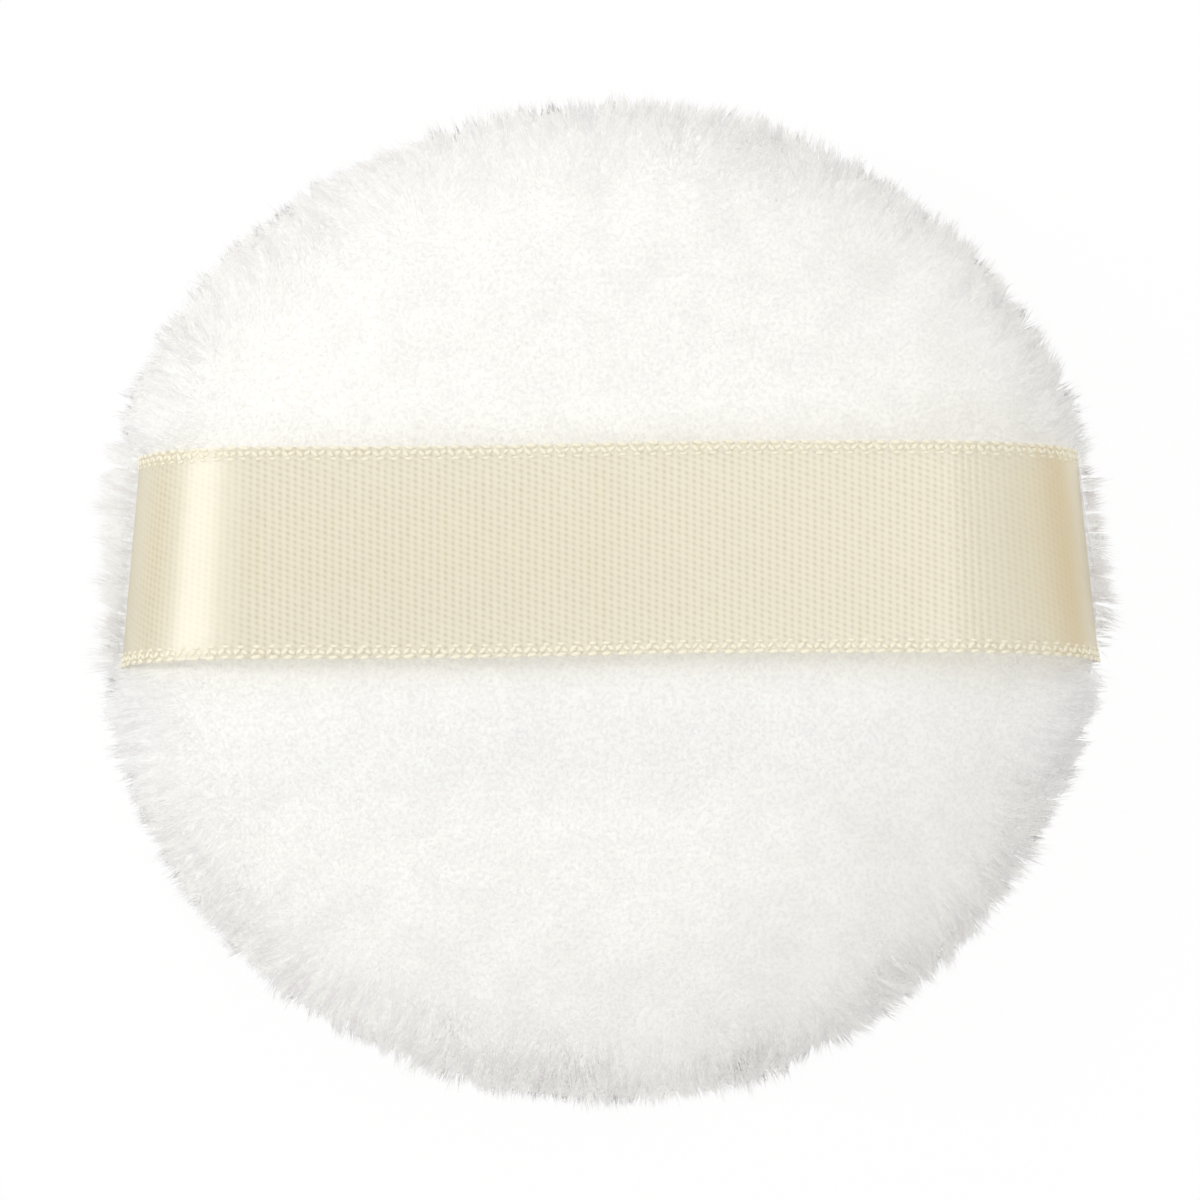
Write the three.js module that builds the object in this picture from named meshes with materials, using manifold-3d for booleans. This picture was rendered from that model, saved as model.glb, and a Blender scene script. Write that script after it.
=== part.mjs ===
// Round plush powder puff with a satin ribbon band across its back.
// Millimetres, +Z up. The application face rests on z = 0, the ribbon is on top and runs along X.

import * as THREE from 'three';
import { mergeVertices } from 'three/addons/utils/BufferGeometryUtils.js';
import Module from 'manifold-3d';

const wasm = await Module();
wasm.setup();

// Pad, measured over the pile where it is dense enough to carry load. Seen from the side, each
// cover swells from crown to seam on a curve: a roundness of 2 is an ellipse, more is boxier.
const padWidth = 73;
const padDepth = 71.6;
const crownRise = 1.4;
const roundnessBack = 3;
const roundnessFace = 2.6;
const seamTuck = 0.6;
const tuckHeight = 1;
const restCut = 0.5;

// Covers: backing and plush pile, which stands taller on the back than on the face that is
// pressed, with the seam allowance turned in at the rim
const plushBack = 3.2;
const plushFace = 2.8;
const rimThickness = 4.5;
const allowanceWidth = 6;
const allowanceThickness = 1;

// Foam disc: how far its rounded edge stands above and below the pinch of the seam
const foamEdgeBack = 0.85;
const foamEdgeFace = 1.35;
const foamEdgeRun = 5;

// Space left between pieces that touch on the real puff, and how far cutters run past
const seatGap = 0.3;
const overrun = 5;

// Ribbon band and the finger space under it
const ribbonWidth = 15;
const ribbonThickness = 0.35;
const ribbonOffset = 2.5;
const fingerGap = 4.6;
const spanHalf = 24;
const spanFall = 0.3;
const ribbonInset = 2;
const tuckRadius = 1.2;
const tailCaught = 3.6;
const grooveGap = 0.4;

// Rim seam: a lockstitch most of the way round, hand stitches over the turning gap
const stitchCount = 40;
const closingStitches = 7;
const threadWidth = 0.3;
const loopPitch = 0.4;
const lockGap = 0.4;
const stitchInset = 5.6;

// How finely the round shapes are drawn
const ringSteps = 44;
const domeShare = 1 / 2;
const outsideSteps = 10;
const tuckSteps = 2;
const innerSteps = 3;
const spanSteps = 16;
const legSteps = 10;
const cornerSteps = 3;

// Heights over the seam plane, then over the resting plane
const allowanceTop = seatGap / 2 + allowanceThickness;
const threadSeat = allowanceTop + seatGap + threadWidth / 2;
const pinchHeight = threadSeat + threadWidth / 2 + seatGap;
const liningBack = pinchHeight + foamEdgeBack + seatGap;
const liningFace = pinchHeight + foamEdgeFace + seatGap;
const tallBack = liningBack + crownRise + plushBack;
const tallFace = liningFace + crownRise + plushFace;
const seamHeight = tallFace - restCut;
const crownTop = seamHeight + tallBack;
const ribbonMiddle = crownTop + fingerGap + ribbonThickness / 2;
const quarterTurn = Math.PI / 2;
const fullTurn = 2 * Math.PI;

const plush = { color: 0xf6f5f0, roughness: 0.95, metalness: 0 };
const satin = { color: 0xe9e2ca, roughness: 0.45, metalness: 0 };
const foam = { color: 0xf1ead2, roughness: 0.9, metalness: 0 };
const sewingThread = { color: 0xf4f2ec, roughness: 0.6, metalness: 0 };

const puff = new THREE.Group();

function addPiece(name, geometry, finish) {
  const mesh = new THREE.Mesh(geometry, new THREE.MeshStandardMaterial(finish));
  mesh.name = name;
  puff.add(mesh);
}

// A point on the pad's outline, drawn in by inset and then scaled towards the middle
function rimPoint(inset, share, angle) {
  return [
    (padWidth / 2 - inset) * share * Math.cos(angle),
    (padDepth / 2 - inset) * share * Math.sin(angle),
  ];
}

function meshFrom(positions, triangles) {
  const geometry = new THREE.BufferGeometry();
  geometry.setAttribute('position', new THREE.Float32BufferAttribute(positions, 3));
  geometry.setIndex(triangles);
  geometry.computeVertexNormals();
  return geometry;
}

// Turns a profile into a closed solid. Its first and last rows lie on the middle line.
function roundSolid(rows) {
  const positions = [0, 0, rows[0].height];
  const rings = rows.slice(1, -1);
  for (const { inset, share, height } of rings) {
    for (let step = 0; step < ringSteps; step += 1) {
      const [x, y] = rimPoint(inset, share, (step / ringSteps) * fullTurn);
      positions.push(x, y, height);
    }
  }
  positions.push(0, 0, rows[rows.length - 1].height);
  const lastPoint = positions.length / 3 - 1;
  const at = (ring, step) => 1 + ring * ringSteps + (step % ringSteps);
  const triangles = [];
  for (let step = 0; step < ringSteps; step += 1) {
    triangles.push(0, at(0, step), at(0, step + 1));
    triangles.push(lastPoint, at(rings.length - 1, step + 1), at(rings.length - 1, step));
    for (let ring = 0; ring < rings.length - 1; ring += 1) {
      triangles.push(at(ring, step), at(ring + 1, step), at(ring + 1, step + 1));
      triangles.push(at(ring, step), at(ring + 1, step + 1), at(ring, step + 1));
    }
  }
  return meshFrom(positions, triangles);
}

function toManifold(geometry) {
  const bare = geometry.clone();
  bare.deleteAttribute('normal');
  if (bare.hasAttribute('uv')) bare.deleteAttribute('uv');
  const merged = mergeVertices(bare);
  return new wasm.Manifold(new wasm.Mesh({
    numProp: 3,
    vertProperties: new Float32Array(merged.attributes.position.array),
    triVerts: new Uint32Array(merged.index.array),
  }));
}

function fromManifold(solid) {
  const mesh = solid.getMesh();
  return meshFrom(Array.from(mesh.vertProperties), Array.from(mesh.triVerts));
}

function cutAway(geometry, cutters) {
  let solid = toManifold(geometry);
  for (const cutter of cutters) solid = solid.subtract(toManifold(cutter));
  return fromManifold(solid);
}

// A cover's outside over the seam plane, from its middle, or from the edge of the flat that
// restCut leaves, out to where the tuck towards the seam starts
function outsideRows(tall, roundness, flatCut) {
  const turnAt = (height) => Math.acos((height / tall) ** (roundness / 2));
  const from = turnAt(tall - flatCut);
  const to = turnAt(tuckHeight);
  const rows = [{ inset: 0, share: 0, height: tall - flatCut }];
  for (let step = flatCut > 0 ? 0 : 1; step <= outsideSteps; step += 1) {
    const turn = from + (to - from) * (step / outsideSteps);
    const share = Math.sin(turn) ** (2 / roundness);
    rows.push({ inset: 0, share, height: tall * Math.cos(turn) ** (2 / roundness) });
  }
  return rows;
}

// One cover as a profile over the seam plane: outside, seam crease, allowance, lining side
function coverRows(lining, outside) {
  const rows = [...outside];
  for (let step = tuckSteps - 1; step >= 0; step -= 1) {
    const turn = (step / tuckSteps) * quarterTurn;
    const height = seatGap / 2 + (tuckHeight - seatGap / 2) * (1 - Math.cos(turn));
    rows.push({ inset: seamTuck * (1 - Math.sin(turn)), share: 1, height });
  }
  rows.push({ inset: rimThickness + allowanceWidth, share: 1, height: seatGap / 2 });
  rows.push({ inset: rimThickness + allowanceWidth, share: 1, height: allowanceTop });
  rows.push({ inset: rimThickness, share: 1, height: allowanceTop });
  return [...rows, ...foamSide(lining, 0).reverse()];
}

// The domed face and rounded edge that foam and cover share, from the middle line outwards.
// The cover's lining side has no clearance and the foam lies inside it by clear.
function foamSide(lining, clear) {
  const top = lining - clear;
  const foot = pinchHeight + seatGap - clear;
  const rim = rimThickness + clear;
  const domeHeight = top + crownRise * (1 - domeShare * domeShare);
  const rows = [
    { inset: rim + foamEdgeRun, share: 0, height: top + crownRise },
    { inset: rim + foamEdgeRun, share: domeShare, height: domeHeight },
  ];
  for (let step = innerSteps; step >= 0; step -= 1) {
    const turn = (step / innerSteps) * quarterTurn;
    const height = foot + (top - foot) * Math.sin(turn);
    rows.push({ inset: rim + foamEdgeRun * (1 - Math.cos(turn)), share: 1, height });
  }
  return rows;
}

function raised(rows) {
  return rows.map((row) => ({ ...row, height: seamHeight + row.height }));
}

function turnedOver(rows) {
  return rows.map((row) => ({ ...row, height: seamHeight - row.height })).reverse();
}

// Foam disc: it follows the covers' lining sides and is pinched by the seam allowances
function foamRows() {
  const pinch = { inset: rimThickness + allowanceWidth + seatGap, share: 1, height: pinchHeight };
  const back = [...foamSide(liningBack, seatGap), pinch];
  const face = [...foamSide(liningFace, seatGap), pinch];
  return [...raised(back), ...turnedOver(face)];
}

// Ribbon centreline on the +X side, from the middle of the span to the caught tail
const ribbonExit = padWidth / 2 - ribbonInset;
const tailEnd = ringAcross(rimThickness + tailCaught, ribbonOffset + ribbonWidth / 2);
const legFoot = seamHeight + tuckRadius;

// How far along X the outline, drawn in by inset, lies from the middle at a given Y
function ringAcross(inset, y) {
  return (padWidth / 2 - inset) * Math.sqrt(1 - (y / (padDepth / 2 - inset)) ** 2);
}

function spanHeight(x) {
  return ribbonMiddle - spanFall * (x / spanHalf) ** 2;
}

function spanLine() {
  const points = [];
  for (let step = -spanSteps / 2; step <= spanSteps / 2; step += 1) {
    const x = (step / (spanSteps / 2)) * spanHalf;
    points.push(new THREE.Vector2(x, spanHeight(x)));
  }
  return points;
}

function legLine() {
  const points = [];
  const start = spanHalf + seatGap;
  const legTop = spanHeight(spanHalf);
  for (let step = 0; step <= legSteps; step += 1) {
    const turn = (step / legSteps) * quarterTurn;
    const x = start + (ribbonExit - start) * Math.sin(turn);
    points.push(new THREE.Vector2(x, legFoot + (legTop - legFoot) * Math.cos(turn)));
  }
  for (let step = 1; step <= cornerSteps; step += 1) {
    const turn = (step / cornerSteps) * quarterTurn;
    const x = ribbonExit - tuckRadius * (1 - Math.cos(turn));
    points.push(new THREE.Vector2(x, legFoot - tuckRadius * Math.sin(turn)));
  }
  points.push(new THREE.Vector2(tailEnd, seamHeight));
  return points;
}

// The line moved sideways by distance, to the left of the way it runs
function beside(line, distance) {
  return line.map((point, index) => {
    const before = line[Math.max(index - 1, 0)];
    const after = line[Math.min(index + 1, line.length - 1)];
    const way = after.clone().sub(before).normalize();
    return new THREE.Vector2(point.x - way.y * distance, point.y + way.x * distance);
  });
}

// A shape drawn in the XZ plane, run along Y over width and centred on the ribbon
function acrossRibbon(outline, width) {
  const geometry = new THREE.ExtrudeGeometry(new THREE.Shape(outline), {
    depth: width,
    bevelEnabled: false,
  });
  geometry.rotateX(quarterTurn);
  geometry.translate(0, ribbonOffset + width / 2, 0);
  return geometry;
}

function bandAlong(line) {
  const upper = beside(line, ribbonThickness / 2);
  const lower = beside(line, -ribbonThickness / 2);
  return acrossRibbon([...lower, ...upper.reverse()], ribbonWidth);
}

// What a ribbon end presses away: all the plush outside the end's inner side
function legGroove() {
  const inner = beside(legLine(), -(ribbonThickness / 2 + seatGap));
  const reach = padWidth / 2 + overrun;
  const below = seamHeight - ribbonThickness / 2 - seatGap;
  const outline = [
    ...inner.map((point) => point.clone()),
    new THREE.Vector2(tailEnd - seatGap, inner[inner.length - 1].y),
    new THREE.Vector2(tailEnd - seatGap, below),
    new THREE.Vector2(reach, below),
    new THREE.Vector2(reach, ribbonMiddle),
  ];
  return acrossRibbon(outline, ribbonWidth + 2 * grooveGap);
}

// Copy turned half round for the -X side, kept on the ribbon's line
function onOtherSide(geometry) {
  const copy = geometry.clone();
  copy.rotateZ(Math.PI);
  copy.translate(0, 2 * ribbonOffset, 0);
  return copy;
}

// Stitch places, counted from the +X side. The hand-stitched stretch is centred on -Y.
function stitchAngle(index) {
  return ((index + 1 / 2) / stitchCount) * fullTurn;
}

const closingStart = Math.round(stitchCount * (3 / 4) - closingStitches / 2);
const closingEnd = closingStart + closingStitches;

function stitchHoles() {
  const across = threadWidth + 2 * seatGap;
  const length = 2 * (allowanceTop + seatGap);
  return Array.from({ length: stitchCount }, (_, index) => {
    const angle = stitchAngle(index);
    const [x, y] = rimPoint(stitchInset, 1, angle);
    const hole = new THREE.BoxGeometry(across, loopPitch + across, length);
    hole.rotateZ(angle);
    hole.translate(x, y, seamHeight);
    return hole;
  });
}

// A square-section thread through places on the seam line: along is a distance on from a stitch.
// Its corners are mitred, so that it keeps its width round each bend.
function threadAlong(places) {
  const middle = places.map(({ index, along, height }) => {
    const angle = stitchAngle(index);
    const [x, y] = rimPoint(stitchInset, 1, angle);
    const way = new THREE.Vector3(-Math.sin(angle), Math.cos(angle), 0);
    return new THREE.Vector3(x, y, seamHeight + height).addScaledVector(way, along);
  });
  const corners = [[1, 1], [-1, 1], [-1, -1], [1, -1]];
  const positions = [];
  middle.forEach((point, index) => {
    const before = middle[Math.max(index - 1, 0)];
    const after = middle[Math.min(index + 1, middle.length - 1)];
    const wayIn = point.clone().sub(before).normalize();
    const wayOut = after.clone().sub(point).normalize();
    if (index === 0) wayIn.copy(wayOut);
    if (index === middle.length - 1) wayOut.copy(wayIn);
    const outward = new THREE.Vector3(point.x / padWidth, point.y / padDepth, 0).normalize();
    const normalIn = new THREE.Vector3().crossVectors(outward, wayIn).normalize();
    const normalOut = new THREE.Vector3().crossVectors(outward, wayOut).normalize();
    const mitre = normalIn.clone().add(normalOut).normalize();
    mitre.multiplyScalar(1 / mitre.dot(normalIn));
    for (const [side, rise] of corners) {
      const corner = point.clone();
      corner.addScaledVector(outward, (side * threadWidth) / 2);
      corner.addScaledVector(mitre, (rise * threadWidth) / 2);
      positions.push(corner.x, corner.y, corner.z);
    }
  });
  const triangles = [0, 1, 2, 0, 2, 3];
  const sides = corners.length;
  const last = (middle.length - 1) * sides;
  triangles.push(last, last + 2, last + 1, last, last + 3, last + 2);
  for (let ring = 0; ring < middle.length - 1; ring += 1) {
    for (let side = 0; side < sides; side += 1) {
      const here = ring * sides + side;
      const next = ring * sides + ((side + 1) % sides);
      triangles.push(here, here + sides, next + sides, here, next + sides, next);
    }
  }
  return meshFrom(positions, triangles);
}

// Lockstitch thread on one side of the allowances: a bar between holes, a loop down each hole
function lockstitchThread(side) {
  const places = [];
  const deep = (lockGap + threadWidth) / 2;
  for (let count = 0; count < stitchCount - closingStitches; count += 1) {
    const index = closingEnd + count;
    places.push({ index, along: -loopPitch / 2, height: side * threadSeat });
    places.push({ index, along: -loopPitch / 2, height: side * deep });
    places.push({ index, along: loopPitch / 2, height: side * deep });
    places.push({ index, along: loopPitch / 2, height: side * threadSeat });
  }
  return threadAlong(places);
}

// Hand stitches: one thread that crosses from cover to cover at every hole of the turning gap
function closingThread() {
  const places = [];
  for (let index = closingStart; index < closingEnd; index += 1) {
    const side = (index - closingStart) % 2 === 0 ? 1 : -1;
    places.push({ index, along: 0, height: side * threadSeat });
    places.push({ index, along: 0, height: -side * threadSeat });
  }
  return threadAlong(places);
}

const rightEnd = bandAlong(legLine().reverse());
const leftEnd = onOtherSide(rightEnd);
const rightGroove = legGroove();
const leftGroove = onOtherSide(rightGroove);
const holes = stitchHoles();

const backRows = coverRows(liningBack, outsideRows(tallBack, roundnessBack, 0));
const faceRows = coverRows(liningFace, outsideRows(tallFace, roundnessFace, restCut));

addPiece('back_cover', cutAway(roundSolid(raised(backRows)),
  [rightGroove, leftGroove, ...holes]), plush);
addPiece('face_cover', cutAway(roundSolid(turnedOver(faceRows)),
  [rightGroove, leftGroove, ...holes]), plush);
addPiece('foam_core', roundSolid(foamRows()), foam);
addPiece('ribbon_span', bandAlong(spanLine()), satin);
addPiece('ribbon_right_end', cutAway(rightEnd, holes), satin);
addPiece('ribbon_left_end', cutAway(leftEnd, holes), satin);
addPiece('rim_seam_needle_thread', lockstitchThread(1), sewingThread);
addPiece('rim_seam_bobbin_thread', lockstitchThread(-1), sewingThread);
addPiece('closing_stitch_thread', closingThread(), sewingThread);

export default puff;
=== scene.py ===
import math

import bmesh
import bpy
import numpy as np
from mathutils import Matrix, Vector, noise
from mathutils.bvhtree import BVHTree


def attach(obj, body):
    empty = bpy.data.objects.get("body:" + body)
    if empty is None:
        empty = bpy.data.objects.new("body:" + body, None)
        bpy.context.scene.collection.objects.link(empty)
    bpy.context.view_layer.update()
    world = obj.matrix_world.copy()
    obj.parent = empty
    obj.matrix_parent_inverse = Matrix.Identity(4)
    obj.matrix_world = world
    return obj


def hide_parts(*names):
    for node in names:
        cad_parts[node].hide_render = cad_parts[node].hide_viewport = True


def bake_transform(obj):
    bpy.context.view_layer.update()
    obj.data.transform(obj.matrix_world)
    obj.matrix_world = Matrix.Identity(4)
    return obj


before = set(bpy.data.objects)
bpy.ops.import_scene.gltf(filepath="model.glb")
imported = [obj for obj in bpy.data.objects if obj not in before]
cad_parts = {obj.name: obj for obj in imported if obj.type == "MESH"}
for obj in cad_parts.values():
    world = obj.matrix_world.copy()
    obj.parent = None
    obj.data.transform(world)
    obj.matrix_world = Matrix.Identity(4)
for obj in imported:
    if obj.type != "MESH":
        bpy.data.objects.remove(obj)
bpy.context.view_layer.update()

mm = 0.001
scene = bpy.context.scene
scene.view_settings.view_transform = "Standard"


# General helpers

def linear(hexColour):
    # sRGB hex to the linear colour that the shaders take
    channels = [int(hexColour[i:i + 2], 16) / 255 for i in (1, 3, 5)]
    return tuple(c / 12.92 if c <= 0.04045 else ((c + 0.055) / 1.055) ** 2.4 for c in channels) + (1.0,)


def addNode(tree, kind, settings=(), inputs=()):
    # A link goes in where a value is a socket, or a node, whose first output is then meant, and a
    # plain value anywhere else
    made = tree.nodes.new(kind)
    for name, value in dict(settings).items():
        setattr(made, name, value)
    for name, value in dict(inputs).items():
        if isinstance(value, bpy.types.Node):
            value = value.outputs[0]
        if isinstance(value, bpy.types.NodeSocket):
            tree.links.new(value, made.inputs[name])
        else:
            made.inputs[name].default_value = value
    return made


def smoothstep(low, high, x):
    t = np.clip((x - low) / (high - low), 0, 1)
    return t * t * (3 - 2 * t)


def meshObject(name, points, faces, material=None):
    mesh = bpy.data.meshes.new(name)
    mesh.from_pydata([tuple(p) for p in points], [], [tuple(f) for f in faces])
    mesh.polygons.foreach_set("use_smooth", np.ones(len(mesh.polygons), bool))
    mesh.update()
    made = bpy.data.objects.new(name, mesh)
    scene.collection.objects.link(made)
    if material:
        mesh.materials.append(material)
    return made


def pointsOf(mesh):
    flat = np.zeros(len(mesh.vertices) * 3)
    mesh.vertices.foreach_get("co", flat)
    return flat.reshape(-1, 3)


def storeOnPoints(mesh, name, values):
    values = np.asarray(values, np.float32)
    kind, key = ("FLOAT_VECTOR", "vector") if values.ndim == 2 else ("FLOAT", "value")
    mesh.attributes.new(name, kind, "POINT").data.foreach_set(key, values.ravel())


# Camera, lights and floor

view = {
    "distance": 1000 * mm,
    "elevation": 86,            # degrees over the table, seen from the -Y side
    "target": (0, 0, 8 * mm),
    "sensor": 36,
    "frameWidth": 86.0 * mm,    # what the picture is wide at the ribbon
    "ribbonHeight": 19.4 * mm,
}


def makeCamera():
    data = bpy.data.cameras.new("camera")
    camera = bpy.data.objects.new("camera", data)
    scene.collection.objects.link(camera)
    tilt = math.radians(view["elevation"])
    back = Vector((0, -math.cos(tilt), math.sin(tilt)))
    camera.location = Vector(view["target"]) + back * view["distance"]
    camera.rotation_euler = (math.pi / 2 - tilt, 0, 0)
    toRibbon = view["distance"] - (view["ribbonHeight"] - view["target"][2])
    data.sensor_width = view["sensor"]
    data.lens = view["sensor"] * toRibbon / view["frameWidth"]
    data.clip_start = 0.05
    data.clip_end = 20
    scene.camera = camera


studio = {
    "skyStrength": 0.52,
    "skyColour": "#fdfcfd",
    "lamps": [
        # A long soft key overhead, along the ribbon, so that the ribbon throws little shadow
        # beside itself, and two low strips that mark the upper left rim and the satin's bend
        {"name": "key", "power": 5.1, "size": (1.8, 0.26), "place": (0.12, -0.04, 0.95)},
        {"name": "strip", "power": 2.0, "size": (0.11, 0.5), "place": (-0.77, 0.06, 0.38)},
        {"name": "top strip", "power": 1.1, "size": (0.6, 0.1), "place": (-0.1, 0.79, 0.3)},
    ],
    "floorSize": 6,
    "floorColour": "#fbfbfa",
    "floorShadowShare": 0.08,   # how much of the real shadow the camera sees on the floor
}


def seenDirectly(tree):
    # 1 for camera, glossy and transmission rays, which should meet plain white
    path = addNode(tree, "ShaderNodeLightPath")
    first = addNode(tree, "ShaderNodeMath", {"operation": "ADD"},
                    {0: path.outputs["Is Camera Ray"], 1: path.outputs["Is Glossy Ray"]})
    both = addNode(tree, "ShaderNodeMath", {"operation": "ADD", "use_clamp": True},
                   {0: first, 1: path.outputs["Is Transmission Ray"]})
    return both.outputs[0]


def makeStudio():
    world = bpy.data.worlds.new("white studio")
    scene.world = world
    world.use_nodes = True
    tree = world.node_tree
    tree.nodes.clear()
    sky = addNode(tree, "ShaderNodeBackground", {},
                  {"Color": linear(studio["skyColour"]), "Strength": studio["skyStrength"]})
    white = addNode(tree, "ShaderNodeBackground", {}, {"Color": (1, 1, 1, 1), "Strength": 1.0})
    mixed = addNode(tree, "ShaderNodeMixShader", {},
                    {0: seenDirectly(tree), 1: sky, 2: white})
    addNode(tree, "ShaderNodeOutputWorld", {}, {"Surface": mixed})

    for lamp in studio["lamps"]:
        data = bpy.data.lights.new(lamp["name"], "AREA")
        data.energy = lamp["power"]
        data.shape = "RECTANGLE"
        data.size, data.size_y = lamp["size"]
        made = bpy.data.objects.new(lamp["name"], data)
        scene.collection.objects.link(made)
        made.location = lamp["place"]
        made.rotation_euler = (-Vector(lamp["place"])).to_track_quat("-Z", "Y").to_euler()

    size = studio["floorSize"] / 2
    corners = [(-size, -size, 0), (size, -size, 0), (size, size, 0), (-size, size, 0)]
    floor = meshObject("floor", corners, [(0, 1, 2, 3)])
    paint = bpy.data.materials.new("white floor paint")
    paint.use_nodes = True
    tree = paint.node_tree
    tree.nodes.clear()
    matte = addNode(tree, "ShaderNodeBsdfDiffuse", {}, {"Color": linear(studio["floorColour"])})
    glow = addNode(tree, "ShaderNodeEmission", {}, {"Color": (1, 1, 1, 1), "Strength": 1.0})
    keep = addNode(tree, "ShaderNodeMath", {"operation": "MULTIPLY"},
                   {0: seenDirectly(tree), 1: 1 - studio["floorShadowShare"]})
    mixed = addNode(tree, "ShaderNodeMixShader", {},
                    {0: keep, 1: matte, 2: glow})
    addNode(tree, "ShaderNodeOutputMaterial", {}, {"Surface": mixed})
    floor.data.materials.append(paint)


makeCamera()
makeStudio()
print("camera, lights and floor made")


# Materials

def newMaterial(name):
    material = bpy.data.materials.new(name)
    material.use_nodes = True
    material.node_tree.nodes.clear()
    return material, material.node_tree


def finishMaterial(tree, shader, relief, depth, surface=None):
    bump = addNode(tree, "ShaderNodeBump", {}, {"Height": relief, "Distance": depth, "Strength": 1.0})
    tree.links.new(bump.outputs[0], shader.inputs["Normal"])
    addNode(tree, "ShaderNodeOutputMaterial", {}, {"Surface": surface or shader})


def finishTwoTone(tree, pattern, look, inputs):
    # A finish whose colour and relief both follow one pattern
    colour = addNode(tree, "ShaderNodeMix", {"data_type": "RGBA"},
                     {0: pattern, 6: linear(look["low"]), 7: linear(look["high"])})
    shader = addNode(tree, "ShaderNodeBsdfPrincipled", {}, {"Base Color": colour.outputs[2], **inputs})
    finishMaterial(tree, shader, pattern, look["relief"] * mm)


def waveScale(length):
    # A wave texture runs through 20 radians to a unit of length
    return 2 * math.pi / (20 * length * mm)


plushLook = {
    "colour": "#fdfdf7",    # patches whose fibres lie towards the light
    "shade": "#f9f9f3",     # and the patches between them
    "kept": "#f9fbfd",      # painted light: a cooler tint that cancels the cream light the ribbon throws on the pile beside it
    "bounceOffsetShare": 0.45,
    "valleyShade": "#e9e5e5",    # painted shade: pinkish grey between locks of combed fibres, and in the gaps between fibre tips
    "bounceOffsetFrom": (8, 18),    # mm to either side of the middle, between which it ends
    "mottle": 2.6,          # mm, patches of fibre that lie a little differently
    "mottleRange": (0.36, 0.62),
    "grain": 0.3,           # mm, a few fibre tips side by side
    "grainRange": (0.36, 0.58),
    "tipGapShadeShare": 0.4,
    "grainDepth": 0.08,     # mm
    "lock": 0.5,            # mm across a lock of combed fibres on the shoulder and rim
    "lockRange": (0.34, 0.56),
    "lockStretch": 0.28,    # its width as a share of its length
    "lockDepth": 0.14,      # mm
    "combedFrom": (0.84, 1.0),  # shares of the pad's reach over which the locks set in
    "rootShade": 0.96,      # painted shade: how bright a fibre is painted at its root, beside its tip, standing in for shade deep in the pile
    "rootShadeRun": 0.8,
    "roughness": 0.9,
}


def makePlush():
    # Long-pile velour of fine polyester fibre, matte and white right down to the roots; the darker
    # roots, lock valleys and tip gaps in its colour are painted shade. Where the pile is combed, over
    # the shoulder and rim, its locks are noise on "combPlace", which is around the pad in x and y and,
    # drawn out, down its side in z. A fibre has its root's place, so all fibres of a lock share its
    # tone. Beside the ribbon a cooler painted tint cancels the cream light that the ribbon throws.
    material, tree = newMaterial("polyester plush pile")
    place = addNode(tree, "ShaderNodeTexCoord").outputs["Object"]
    comb = addNode(tree, "ShaderNodeAttribute", {"attribute_name": "combPlace"}).outputs["Vector"]
    combed = addNode(tree, "ShaderNodeAttribute", {"attribute_name": "combShare"}).outputs["Fac"]
    along = addNode(tree, "ShaderNodeAttribute", {"attribute_name": "alongFibre"}).outputs["Fac"]
    patterns = []
    for vector, size, detail in ((place, "mottle", 3.0), (place, "grain", 2.0), (comb, "lock", 3.0)):
        patterns.append(addNode(tree, "ShaderNodeTexNoise", {},
                                {"Vector": vector, "Scale": 1 / (plushLook[size] * mm), "Detail": detail}))
    mottle, grain, locks = patterns
    axes = addNode(tree, "ShaderNodeSeparateXYZ", {}, {0: place})
    aside = addNode(tree, "ShaderNodeMath", {"operation": "ABSOLUTE"}, {0: axes.outputs[1]})
    bounceOffsetFrom, bounceOffsetTo = plushLook["bounceOffsetFrom"]
    shares = []
    for value, (low, high), toLow, toHigh in (
            (mottle, plushLook["mottleRange"], 0.0, 1.0),
            # Painted light: beside the ribbon the pile is tinted cooler, against the cream light reflected
            # from the ribbon
            (aside, (bounceOffsetFrom * mm, bounceOffsetTo * mm), plushLook["bounceOffsetShare"], 0.0),
            (locks, plushLook["lockRange"], 1.0, 0.0),
            (grain, plushLook["grainRange"], plushLook["tipGapShadeShare"], 0.0),
            (along, (0.0, plushLook["rootShadeRun"]), plushLook["rootShade"], 1.0)):
        shares.append(addNode(tree, "ShaderNodeMapRange", {"interpolation_type": "SMOOTHSTEP"},
                              {"Value": value, "From Min": low, "From Max": high, "To Min": toLow,
                               "To Max": toHigh}))
    patch, kept, between, tipGapShade, depth = shares
    # Painted shade: the valleys between combed locks and the gaps between fibre tips get the darker valley
    # shade colour
    valleyShade = addNode(tree, "ShaderNodeMath", {"operation": "MULTIPLY"}, {0: between, 1: combed})
    tone = linear(plushLook["shade"])
    for share, name in ((patch, "colour"), (kept, "kept"), (valleyShade, "valleyShade"), (tipGapShade, "valleyShade")):
        tone = addNode(tree, "ShaderNodeMix", {"data_type": "RGBA"},
                       {0: share, 6: tone, 7: linear(plushLook[name])}).outputs[2]
    # Painted shade: each fibre's tone darkens towards its root, standing in for the shade deep in the pile
    colour = addNode(tree, "ShaderNodeVectorMath", {"operation": "SCALE"}, {0: tone, "Scale": depth})
    lockDepth = addNode(tree, "ShaderNodeMath", {"operation": "MULTIPLY"},
                        {0: combed, 1: plushLook["lockDepth"]})
    lockRelief = addNode(tree, "ShaderNodeMath", {"operation": "MULTIPLY"}, {0: locks, 1: lockDepth})
    relief = addNode(tree, "ShaderNodeMath", {"operation": "MULTIPLY_ADD"},
                     {0: grain, 1: plushLook["grainDepth"], 2: lockRelief})
    shader = addNode(tree, "ShaderNodeBsdfPrincipled", {},
                     {"Base Color": colour, "Roughness": plushLook["roughness"], "IOR": 1.54,
                      "Specular IOR Level": 0.1})
    finishMaterial(tree, shader, relief, 1 * mm)
    return material


backingLook = {"low": "#f3f1ea", "high": "#fbfaf6", "rib": 1.1, "fibre": 0.25, "relief": 0.15}


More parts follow.
